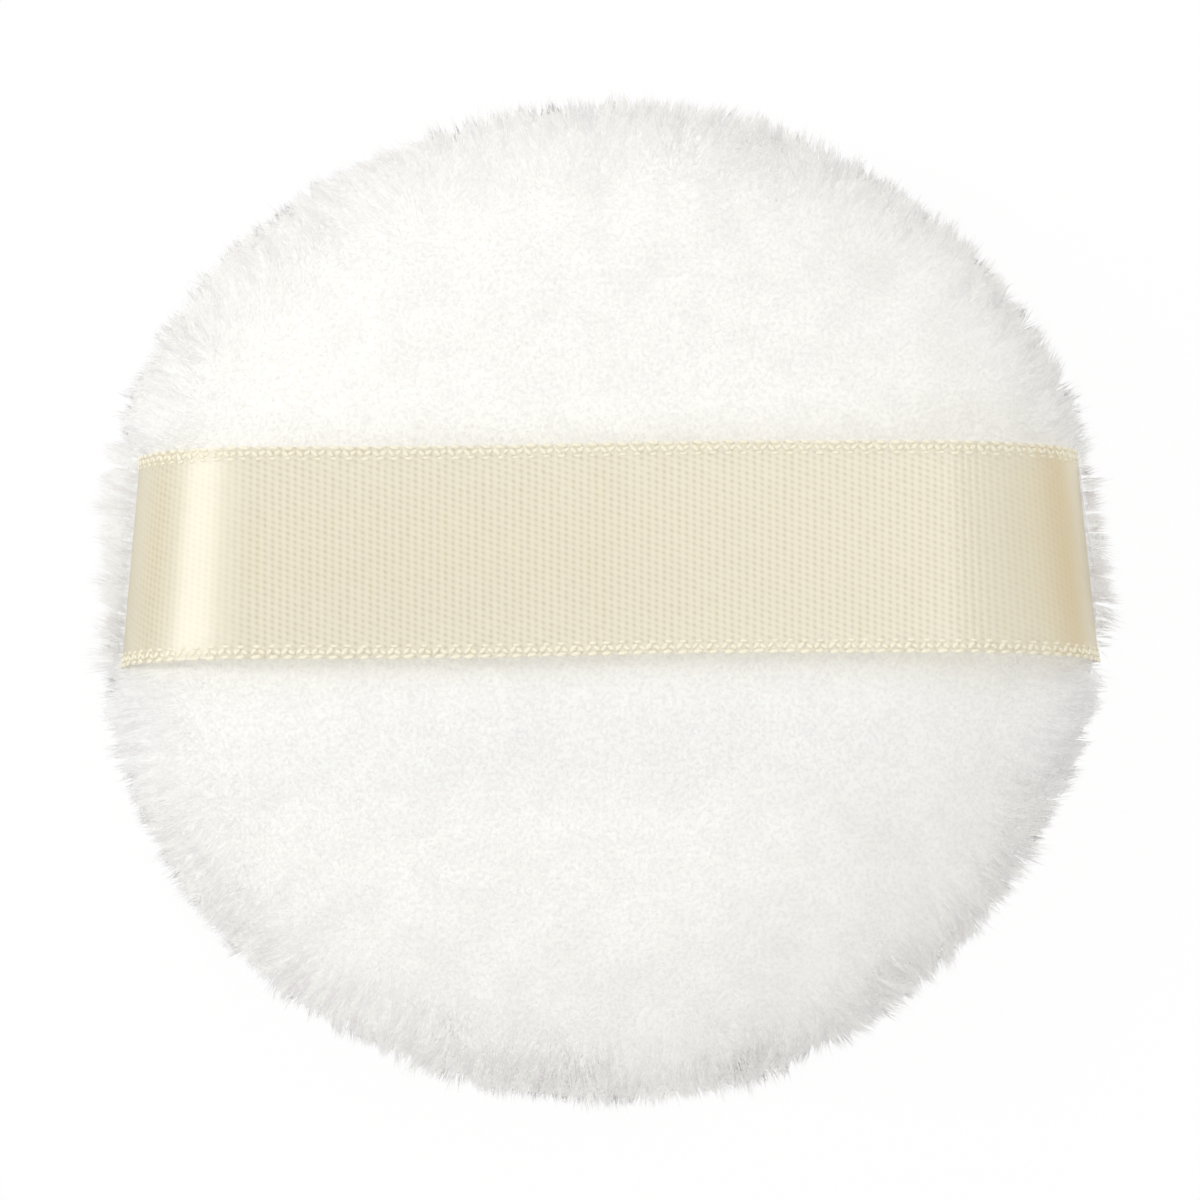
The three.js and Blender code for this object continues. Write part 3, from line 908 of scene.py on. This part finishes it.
def shell(name, side, outer, inner, material):
    # A closed cover layer with its bake map: the outer side fills a large round patch of the map
    # and the inner side a small one
    rows = outer + inner
    steps = padForm["steps"]
    points = ringPoints(rows) * mm
    made = meshObject(name, points, ringFaces(len(rows), steps, side < 0), material)
    mesh = made.data
    outCount = len(outer)
    rowOf = np.concatenate([[0], np.repeat(np.arange(1, len(rows) - 1), steps), [len(rows) - 1]])
    starts = np.array([min(rowOf[v] for v in f.vertices) for f in mesh.polygons])
    turn = np.arctan2(points[:, 1], points[:, 0])
    maps = []
    for out, (middle, reach) in ((rowOf / (outCount + 3), bakeMap["big"]),
                                 ((len(rows) - 1 - rowOf) / max(len(inner) - 3, 1), bakeMap["small"])):
        radius = np.clip(out, 0, 1) * reach
        maps.append(np.stack([middle + radius * np.cos(turn), middle + radius * np.sin(turn)], 1))
    bigMap, smallMap = maps
    corners = np.zeros(len(mesh.loops), np.int32)
    mesh.loops.foreach_get("vertex_index", corners)
    counts = np.array([len(f.vertices) for f in mesh.polygons])
    useBig = np.repeat(starts < outCount + 2, counts)
    layer = mesh.uv_layers.new(name="OFBake")
    layer.data.foreach_set("uv", np.where(useBig[:, None], bigMap[corners], smallMap[corners]).ravel())
    return made, points, rowOf, turn, bigMap


def backingPiece(name, side, outer):
    inward = drawnIn(outer, side, padForm["pileDeep"] + padForm["backingGap"])
    kept = inward[:-1:3] + inward[-1:]
    return shell(name, side, kept, liningRows(side), backing)[0]


pileForm = {
    "shoulder": (0.76, 0.98),   # shares of the pad's reach over which the crown turns into the rim
    "nearSeam": (0.5, 4.5),     # mm above and below the seam
    "nearTable": (0.6, 3.0),
    "nearEnds": (4, 7),         # mm above and below the seam, where the ribbon's ends go in
    "endsFrom": 22,             # mm from the middle to where these begin to bend down
    "leanWaves": ((0.13, 1.3), (0.4, 0.6)),     # waves to a mm, and how strong they are
    "lean": (0.5, 0.4),         # how much of that the crown has, and what the shoulder adds
    "restLift": 0.1,
    "loose": (4, 1),            # how loosely the pile stands, on the crown and at the rim
    "clump": (0.4, 1.0, 0.8),   # how much it clumps, and what the shoulder and the seam add
    "lengthWaves": (0.22, 0.08),
    "shoulderWaves": (0.75, 0.4),
    "ribbonWaves": (0.9, 0.5),
    "ribbonLonger": {-1: 0.25, 1: 0.1},     # the tufts beside the ribbon's left and right ends
    "ribbonDenser": 1.3,
    "seamShade": (0.55, 0.83),  # outward and upward parts of the way that fibres shade there
    "endShade": (0.15, 0.98),
    "levelShade": (1.3, 1.25),  # how far the crown shades as if level, and how much the rim less
    "levelEnd": (0.85, 0.98),
    "combWaves": (0.11, (3.0, 3.0, 0.4)),
}


# Without a fixed seed, noise_vector starts from another place in each run
noise.seed_set(pile["seed"])


def noiseAt(points, waves):
    return np.array([noise.noise(Vector(p) / mm * waves) for p in points])


def swirlAt(points, waves):
    return np.array([noise.noise_vector(Vector(p) / mm * waves) for p in points])


def plushPiece(name, side, outer):
    inward = drawnIn(outer, side, padForm["pileDeep"])[::-1]
    inner = inward[:-1:4] + inward[-1:]
    rows = outer + inner
    outCount = len(outer)
    cover, points, rowOf, turn, bigMap = shell(name, side, outer, inner, plush)
    mesh = cover.data

    # What the pile needs to know at each place
    normals = np.zeros(len(mesh.vertices) * 3, np.float32)
    mesh.vertex_normals.foreach_get("vector", normals)
    normals = normals.reshape(-1, 3)
    outward = unit(points * [1, 1, 0])
    level = np.abs(normals[:, 2:])
    down = unit(outward * level - np.array([[0, 0, side]]) * (1 - level))
    radial = np.linalg.norm(points[:, :2], axis=1) / mm / bodyRadius(turn)
    height = np.abs(points[:, 2] / mm - padForm["seam"])
    shoulder = smoothstep(*pileForm["shoulder"], radial)
    atSeam = 1 - smoothstep(*pileForm["nearSeam"], height)
    lean = sum(swirlAt(points, waves) * strength for waves, strength in pileForm["leanWaves"])
    lean -= normals * np.sum(lean * normals, axis=1)[:, None]
    least, more = pileForm["lean"]
    way = down * shoulder[:, None] + lean * (least + more * shoulder)[:, None]
    lift = pile["crownLift"] + (pile["rimLift"] - pile["crownLift"]) * shoulder
    lift = lift + (pile["seamLift"] - lift) * atSeam
    length = pile["crownLength"] + (pile["rimLength"] - pile["crownLength"]) * shoulder
    share = pile["crownShare"] + (1 - pile["crownShare"]) * shoulder
    crownLoose, rimLoose = pileForm["loose"]
    loose = crownLoose + (rimLoose - crownLoose) * shoulder
    leastClump, byShoulder, bySeam = pileForm["clump"]
    clump = leastClump + byShoulder * shoulder + bySeam * atSeam
    if side < 0:
        resting = 1 - smoothstep(*pileForm["nearTable"], points[:, 2] / mm)
        lift = lift * (1 - resting) + pileForm["restLift"] * resting
        length = length * (1 - resting) + pile["restLength"] * resting
        share = share * (1 - resting) + pile["restShare"] * resting
    share[rowOf >= outCount] = 0
    x, y, z = points.T / mm
    for sign in (-1, 1):
        # No fibre grows where the ribbon's end lies against the cover
        if side > 0:
            covered = (x * sign > pileForm["endsFrom"]) & (x * sign > legReach(sign, y, z) - 1.2)
        else:
            covered = (x * sign > pileForm["endsFrom"]) & (x * sign < ribbonExit(sign, y) + 0.1)
        share[covered] *= 1 - underRibbon(x, y)[covered]
    last = rowOf == outCount - 1
    share[last] *= underRibbon(x, y)[last] if side < 0 else 0
    nearRibbon = underRibbon(x, y) * atSeam
    for key, where in (("lengthWaves", 1), ("shoulderWaves", shoulder), ("ribbonWaves", nearRibbon)):
        waves, strength = pileForm[key]
        length *= 1 + strength * where * noiseAt(points, waves)
    length *= 1 + np.where(x < 0, pileForm["ribbonLonger"][-1], pileForm["ribbonLonger"][1]) * nearRibbon
    share *= 1 + pileForm["ribbonDenser"] * nearRibbon

    # Which way each fibre shades: as the pad does, and more upwards down the rim
    upward = np.array([[0, 0, 1]])
    atEnds = underRibbon(x, y) * (1 - smoothstep(*pileForm["nearEnds"], height))
    shadeWay = normals
    for there, (out, rise) in ((atSeam, pileForm["seamShade"]), (atEnds, pileForm["endShade"])):
        shadeWay = unit(shadeWay * (1 - there)[:, None] + (outward * out + upward * rise) * there[:, None])
    if side > 0:
        # Deep pile shades more softly than the form under it, up to the rim
        most, less = pileForm["levelShade"]
        level = most - less * smoothstep(*pileForm["levelEnd"], radial)
        shadeWay = unit(shadeWay + upward * level[:, None])
    sideSteps = [np.linalg.norm(b - a, axis=1).mean() for a, b in zip(rows, rows[1:])]
    along = np.concatenate([[0], np.cumsum(sideSteps)])[rowOf]
    around = padForm["reach"] * np.stack([np.cos(turn), np.sin(turn)], 1)
    combPlace = np.concatenate([around, along[:, None] * plushLook["lockStretch"]], 1)
    waves, strengths = pileForm["combWaves"]
    combPlace += swirlAt(points, waves) * strengths
    combShare = smoothstep(*plushLook["combedFrom"], radial) * (rowOf < outCount)
    for title, values in (("pileComb", way), ("pileLift", lift), ("pileLength", length * mm),
                          ("pileShare", share), ("pileClump", clump), ("pileLoose", loose),
                          ("shadeWay", shadeWay),
                          ("rootMap", np.concatenate([bigMap, np.zeros((len(points), 1))], 1)),
                          ("combPlace", combPlace * mm), ("combShare", combShare)):
        storeOnPoints(mesh, title, values)
    return cover, normals


pressing = {
    "beside": 0.25,         # mm past the ribbon's edges that fibres keep clear
    "leg": 0.32,            # mm from the ribbon's end to the fibres under and over it
    "past": 0.3,
    "below": 0.35,
    "share": 0.92,          # how much of the way a fibre that is too near is moved
    "table": 0.3,
    "foldedShare": 0.02,    # what is left of a fibre that would turn inside out
}


def keepClear(points, side):
    # Fibres lie down beside the ribbon's ends and on the table rather than pass through them.
    # They are pressed together, never quite flat, so that no face ends up inside out.
    x, y, z = points.T / mm
    offset, half = ribbonForm["offset"], ribbonForm["width"] / 2 + pressing["beside"]
    band = np.abs(y - offset) < half
    for sign in (-1, 1):
        atEnd = band & (x * sign > pileForm["endsFrom"])
        if side > 0:
            over = np.maximum(x * sign - legReach(sign, y, z) + pressing["leg"], 0) * atEnd
            x = x - sign * over * pressing["share"]
        else:
            past = x * sign - ribbonExit(sign, y) - pressing["past"]
            over = np.maximum(z - padForm["seam"] + pressing["below"], 0) * (atEnd & (past < 0))
            z = z - over * pressing["share"]
    table = pressing["table"]
    z = np.where(z < table, table * np.exp((z - table) / table), z)
    return np.stack([x, y, z], 1) * mm


def insideOut(points):
    # Which fibres have a side that faces inwards, after they were pressed together
    root, first, second, third, tip = points.reshape(-1, 5, 3).transpose(1, 0, 2)
    ring = np.cross(second - first, third - first)
    return (np.sum((first - root) * ring, axis=1) <= 0) | (np.sum((tip - first) * ring, axis=1) <= 0)


def finishedCover(cover, side, normals, tree, sockets):
    grown = grow(cover, tree, sockets)
    pileObject = bpy.data.objects.new("pile", grown)
    scene.collection.objects.link(pileObject)
    count = len(cover.data.vertices)
    storeOnPoints(cover.data, "shadeNormal", normals)
    # The pile's own surface sits halfway along the fibres, so it takes part of the painted root shade
    storeOnPoints(cover.data, "alongFibre", np.full(count, 0.5))
    bpy.ops.object.select_all(action="DESELECT")
    pileObject.select_set(True)
    cover.select_set(True)
    bpy.context.view_layer.objects.active = cover
    bpy.ops.object.join()
    mesh = cover.data
    points = pointsOf(mesh)
    standing = points[count:]
    clear = keepClear(standing, side)
    turned = np.repeat(insideOut(clear), 5)
    left = pressing["foldedShare"]
    roots = np.repeat(clear[::5] - left * standing[::5], 5, axis=0)
    points[count:] = np.where(turned[:, None], roots + left * standing, clear)
    mesh.vertices.foreach_set("co", points.ravel())
    shade = np.zeros(len(mesh.vertices) * 3, np.float32)
    mesh.attributes["shadeNormal"].data.foreach_get("vector", shade)
    shade = shade.reshape(-1, 3)
    for name in ("shadeNormal", "shadeWay", "rootNormal", "rootMap", "pileComb", "pileLift", "pileLength",
                 "pileShare", "pileClump", "pileLoose", "bow"):
        if name in mesh.attributes:
            mesh.attributes.remove(mesh.attributes[name])
    mesh.normals_split_custom_set_from_vertices(shade)
    mesh.update()
    print(cover.name, "has", len(mesh.polygons), "faces")
    return cover


tree = simulatedPad()
backRows, faceRows = outerRows(1), outerRows(-1)
if tree:
    backRows, faceRows = laidOn(backRows, tree), laidOn(faceRows, tree)
backRows, faceRows = pressed(backRows, 1), pressed(faceRows, -1)
for rows, side in ((backRows, 1), (faceRows, -1)):
    x, y = rows[-1][:, 0], rows[-1][:, 1]
    rows[-1][:, 2] = padForm["seam"] + side * (inside["seamGap"] + 0.2 * underRibbon(x, y))
fibre = fibreObject()
pileNodes, pileSockets = pileTree(fibre)
for name, side, rows in (("back_cover", 1, backRows), ("face_cover", -1, faceRows)):
    ground = backingPiece(name + "_backing", side, rows)
    cover, normals = plushPiece(name + "_plush", side, rows)
    finishedCover(cover, side, normals, pileNodes, pileSockets)
    # Real fibres pass most of the light that meets them on to the next ones. Solid ones would
    # shade each other grey, so the pile shades nothing, and the backing under it does.
    cover.visible_shadow = False
    cover.visible_diffuse = False
    for piece in (ground, cover):
        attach(piece, "pad")
        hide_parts(name)
bpy.data.objects.remove(fibre)
print("covers made")


# The ribbon, as two halves that meet at the middle, each turning down over the rim

def ribbonLine(side):
    # Distance along, share of the way out, and height, from the middle to the end of the tail
    foot = padForm["seam"] + ribbonForm["tuckRadius"]
    drop = ribbonForm["top"] - ribbonForm["fall"] - foot
    start, reach = ribbonForm["spanHalf"], ribbonExit(side, ribbonForm["offset"])
    line = []
    spanSteps, bendSteps, tuckSteps = ribbonForm["alongSteps"]
    for k in range(spanSteps + 1):
        x = start * k / spanSteps
        line.append((x / start, 0.0, ribbonForm["top"] - ribbonForm["fall"] * (x / start) ** 2, 0.0))
    for k in range(1, bendSteps + 1):
        bend = k / bendSteps * math.pi / 2
        line.append((1.0, math.sin(bend), foot + drop * math.cos(bend), 0.0))
    tuck, tail = ribbonForm["tuckRadius"], reach - ribbonForm["tailEnd"]
    for k in range(1, tuckSteps + 1):
        bend = k / tuckSteps * math.pi / 2
        line.append((1.0, 1.0, foot - tuck * math.sin(bend), tuck * (1 - math.cos(bend))))
    for k in range(1, tuckSteps + 1):
        line.append((1.0, 1.0, padForm["seam"], tuck + (tail - tuck) * k / tuckSteps))
    return line


def ribbonHalf(name, side):
    half, thick = ribbonForm["width"] / 2, ribbonForm["thickness"] / 2
    line = ribbonLine(side)
    across = np.linspace(-half, half, ribbonForm["acrossSteps"] + 1)
    grid = np.zeros((len(line), len(across), 3))
    for i, (spanShare, legShare, height, back) in enumerate(line):
        spanHalf = ribbonForm["spanHalf"]
        y = ribbonCentre(side * (spanHalf * spanShare + 10 * legShare)) + across
        x = spanHalf * spanShare + (ribbonExit(side, y) - spanHalf) * legShare - back
        grid[i] = np.stack([side * x, y, np.full_like(y, height)], 1)
    alongWay = np.gradient(grid, axis=0)
    acrossWay = np.gradient(grid, axis=1)
    normal = np.cross(alongWay, acrossWay) * side
    normal /= np.linalg.norm(normal, axis=2)[:, :, None]
    middle = len(across) // 2
    stepLengths = np.linalg.norm(np.diff(grid[:, middle], axis=0), axis=1)
    along = np.concatenate([[0], np.cumsum(stepLengths)])
    upper, lower = grid + normal * thick, grid - normal * thick
    rows, cols = grid.shape[:2]
    points = np.concatenate([upper.reshape(-1, 3), lower.reshape(-1, 3)]) * mm
    faces = []
    for r in range(rows - 1):
        for c in range(cols - 1):
            a = r * cols + c
            top = (a, a + cols, a + cols + 1, a + 1)
            faces.append(top)
            faces.append(tuple(rows * cols + v for v in reversed(top)))
        for c, flip in ((0, False), (cols - 1, True)):
            a = r * cols + c
            edge = (a, rows * cols + a, rows * cols + a + cols, a + cols)
            faces.append(edge[::-1] if flip else edge)
    for r, flip in ((0, True), (rows - 1, False)):
        for c in range(cols - 1):
            a = r * cols + c
            edge = (a, rows * cols + a, rows * cols + a + 1, a + 1)
            faces.append(edge[::-1] if flip else edge)
    if side < 0:
        faces = [f[::-1] for f in faces]
    band = meshObject(name, points, faces, satin)
    place = np.stack([np.repeat(along, cols) * side, np.tile(across, rows), np.zeros(rows * cols)], 1)
    # The underside has its weave from another place, 40 mm away
    storeOnPoints(band.data, "ribbonPlace", np.concatenate([place, place + [0, 40, 0]]) * mm)
    slope = np.arccos(np.clip(np.abs(normal[:, :, 2]), 0, 1)) / (math.pi / 2)
    # Painted shade on the steep ends, by slope, more on the right
    turned = smoothstep(*satinLook["turnedShadeSlope"], slope) * satinLook["turnedShadeShare"][side]
    # Painted highlight: a band on the bend where the strip lamp shines, more on the left, and one along each
    # fold
    bend = smoothstep(*satinLook["bendHighlightSlope"], slope) * (1 - smoothstep(*satinLook["bendHighlightEnd"], slope))
    bend = bend * satinLook["bendHighlightShare"][side]
    foldHighlight = smoothstep(*satinLook["foldHighlightSlope"], slope) * satinLook["foldHighlightShare"][side]
    for title, values in (("ribbonTurnedShade", turned), ("ribbonHighlight", bend + foldHighlight)):
        storeOnPoints(band.data, title, np.tile(values.ravel(), 2))
    layer = band.data.uv_layers.new(name="OFBake")
    corners = np.zeros(len(band.data.loops), np.int32)
    band.data.loops.foreach_get("vertex_index", corners)
    u = np.concatenate([np.repeat(along, cols)] * 2) / along[-1] * 0.98 + 0.01
    v = np.concatenate([np.tile(across, rows) + half + 0.5, np.tile(across, rows) + 3 * half + 1.5])
    v = v / (4 * half + 2.5)
    layer.data.foreach_set("uv", np.stack([u[corners], v[corners]], 1).ravel())
    # The halves meet in the middle of the span, where light in the cloth passes on to the other
    joined = np.zeros(len(faces))
    joined[2 * (rows - 1) * cols:][:cols - 1] = 1
    band.data.attributes.new("ribbonJoin", "FLOAT", "FACE").data.foreach_set("value", joined)
    sharp = band.data.attributes.new("sharp_edge", "BOOLEAN", "EDGE")
    topCount = rows * cols
    colOf = np.tile(np.tile(np.arange(cols), rows), 2)
    rowOf = np.tile(np.repeat(np.arange(rows), cols), 2)
    flags = []
    for e in band.data.edges:
        a, b = e.vertices
        rim = colOf[a] == colOf[b] and colOf[a] in (0, cols - 1) and (a < topCount) == (b < topCount)
        end = rowOf[a] == rowOf[b] and rowOf[a] in (0, rows - 1) and (a < topCount) == (b < topCount)
        flags.append(bool(rim or end))
    sharp.data.foreach_set("value", flags)
    return band, grid, normal, along


def loopTree(bead):
    tree = bpy.data.node_groups.new("selvedge loops", "GeometryNodeTree")
    sockets = {}
    tree.interface.new_socket("Geometry", in_out="INPUT", socket_type="NodeSocketGeometry")
    for name, kind in (("Size Jitter", "Float"), ("Seed", "Int"), ("Material", "Material")):
        made = tree.interface.new_socket(name, in_out="INPUT", socket_type="NodeSocket" + kind)
        sockets[name] = made.identifier
    tree.interface.new_socket("Geometry", in_out="OUTPUT", socket_type="NodeSocketGeometry")
    given = addNode(tree, "NodeGroupInput")

    def attribute(name):
        made = addNode(tree, "GeometryNodeInputNamedAttribute", {"data_type": "FLOAT_VECTOR"}, {"Name": name})
        return made.outputs[0]

    upright = addNode(tree, "FunctionNodeAlignRotationToVector", {"axis": "Z"},
                      {"Vector": attribute("loopNormal")})
    turned = addNode(tree, "FunctionNodeAlignRotationToVector", {"axis": "X", "pivot_axis": "Z"},
                     {"Rotation": upright, "Vector": attribute("loopWay")})
    uneven = addNode(tree, "FunctionNodeRandomValue", {"data_type": "FLOAT"},
                     {2: -1.0, 3: 1.0, 8: given.outputs["Seed"]})
    swell = addNode(tree, "ShaderNodeMath", {"operation": "MULTIPLY_ADD"},
                    {0: uneven.outputs[1], 1: given.outputs["Size Jitter"], 2: 1.0})
    size = addNode(tree, "ShaderNodeVectorMath", {"operation": "SCALE"},
                   {0: attribute("loopSize"), "Scale": swell})
    one = addNode(tree, "GeometryNodeObjectInfo", {"transform_space": "ORIGINAL"}, {"Object": bead})
    placed = addNode(tree, "GeometryNodeInstanceOnPoints", {},
                     {"Points": given.outputs["Geometry"], "Instance": one.outputs["Geometry"],
                      "Rotation": turned, "Scale": size})
    real = addNode(tree, "GeometryNodeRealizeInstances", {}, {"Geometry": placed})
    coloured = addNode(tree, "GeometryNodeSetMaterial", {},
                       {"Geometry": real, "Material": given.outputs["Material"]})
    addNode(tree, "NodeGroupOutput", {}, {"Geometry": coloured})
    return tree, sockets


def beadObject():
    shape = bmesh.new()
    bmesh.ops.create_icosphere(shape, subdivisions=2, radius=0.5)
    mesh = bpy.data.meshes.new("bead")
    shape.to_mesh(mesh)
    shape.free()
    mesh.polygons.foreach_set("use_smooth", np.ones(len(mesh.polygons), bool))
    bead = bpy.data.objects.new("bead", mesh)
    scene.collection.objects.link(bead)
    return bead


def selvedgeLoops(name, side, grid, normal, along, tree, sockets):
    # Both edges of one half of the ribbon, down to where it goes into the seam
    width, pitch = ribbonForm["width"], selvedgeForm["pitch"]
    shown = along[grid[:, 0, 2] > padForm["seam"] + 0.6].max()
    chance = np.random.default_rng(selvedgeForm["seed"])

    def at(values, distance):
        return np.array([np.interp(distance, along, values[:, k]) for k in range(3)])

    places, normals, ways, sizes = [], [], [], []
    for edge, outward in ((0, -1), (-1, 1)):
        line, up = grid[:, edge], normal[:, edge]
        inner = grid[:, edge - outward]
        for k in range(int(shown / pitch)):
            for row in selvedgeForm["rows"]:
                wander = chance.uniform(-1, 1, 2) * selvedgeForm["jitter"]
                distance = (k + 0.5) * pitch + side * row["shift"] + wander[0]
                if not 0.02 < distance < shown:
                    continue
                here, onwards = at(line, distance), at(line, distance + 0.05)
                across = (here - at(inner, distance)) / np.linalg.norm(here - at(inner, distance))
                way = (onwards - here) / np.linalg.norm(onwards - here) * side
                turn = math.radians(row["turn"] * -outward)
                lifted = at(up, distance) * (ribbonForm["thickness"] / 2 + 0.02)
                places.append(here - across * (row["inset"] + wander[1] * 0.5) + lifted)
                normals.append(at(up, distance))
                ways.append(way * math.cos(turn) + across * outward * math.sin(turn))
                sizes.append(row["size"])
    loops = meshObject(name, np.array(places) * mm, [], selvedge)
    for title, values in (("loopNormal", normals), ("loopWay", ways), ("loopSize", np.array(sizes) * mm)):
        storeOnPoints(loops.data, title, values)
    grown = loops.modifiers.new("loops", "NODES")
    grown.node_group = tree
    for title, value in (("Size Jitter", 0.12), ("Seed", selvedgeForm["seed"]), ("Material", selvedge)):
        grown[sockets[title]] = value
    made = bpy.data.meshes.new_from_object(loops.evaluated_get(bpy.context.evaluated_depsgraph_get()))
    loops.modifiers.clear()
    loops.data = made
    for title in ("loopNormal", "loopWay", "loopSize"):
        if title in made.attributes:
            made.attributes.remove(made.attributes[title])
    print(name, "has", len(made.polygons), "faces")
    return loops


bead = beadObject()
loopNodes, loopSockets = loopTree(bead)
for name, side, nodes in (("ribbon_left_half", -1, ("ribbon_left_end", "ribbon_span")),
                          ("ribbon_right_half", 1, ("ribbon_right_end",))):
    band, grid, normal, along = ribbonHalf(name, side)
    loops = selvedgeLoops(name + "_selvedges", side, grid, normal, along, loopNodes, loopSockets)
    for piece in (band, loops):
        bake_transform(piece)
    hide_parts(*nodes)
bpy.data.objects.remove(bead)
print("ribbon made")


# Foam and threads keep their own shapes and get their finishes

for name, material in (("foam_core", foam), ("rim_seam_needle_thread", thread),
                       ("rim_seam_bobbin_thread", thread), ("closing_stitch_thread", thread)):
    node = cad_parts[name]
    node.data.materials.clear()
    node.data.materials.append(material)
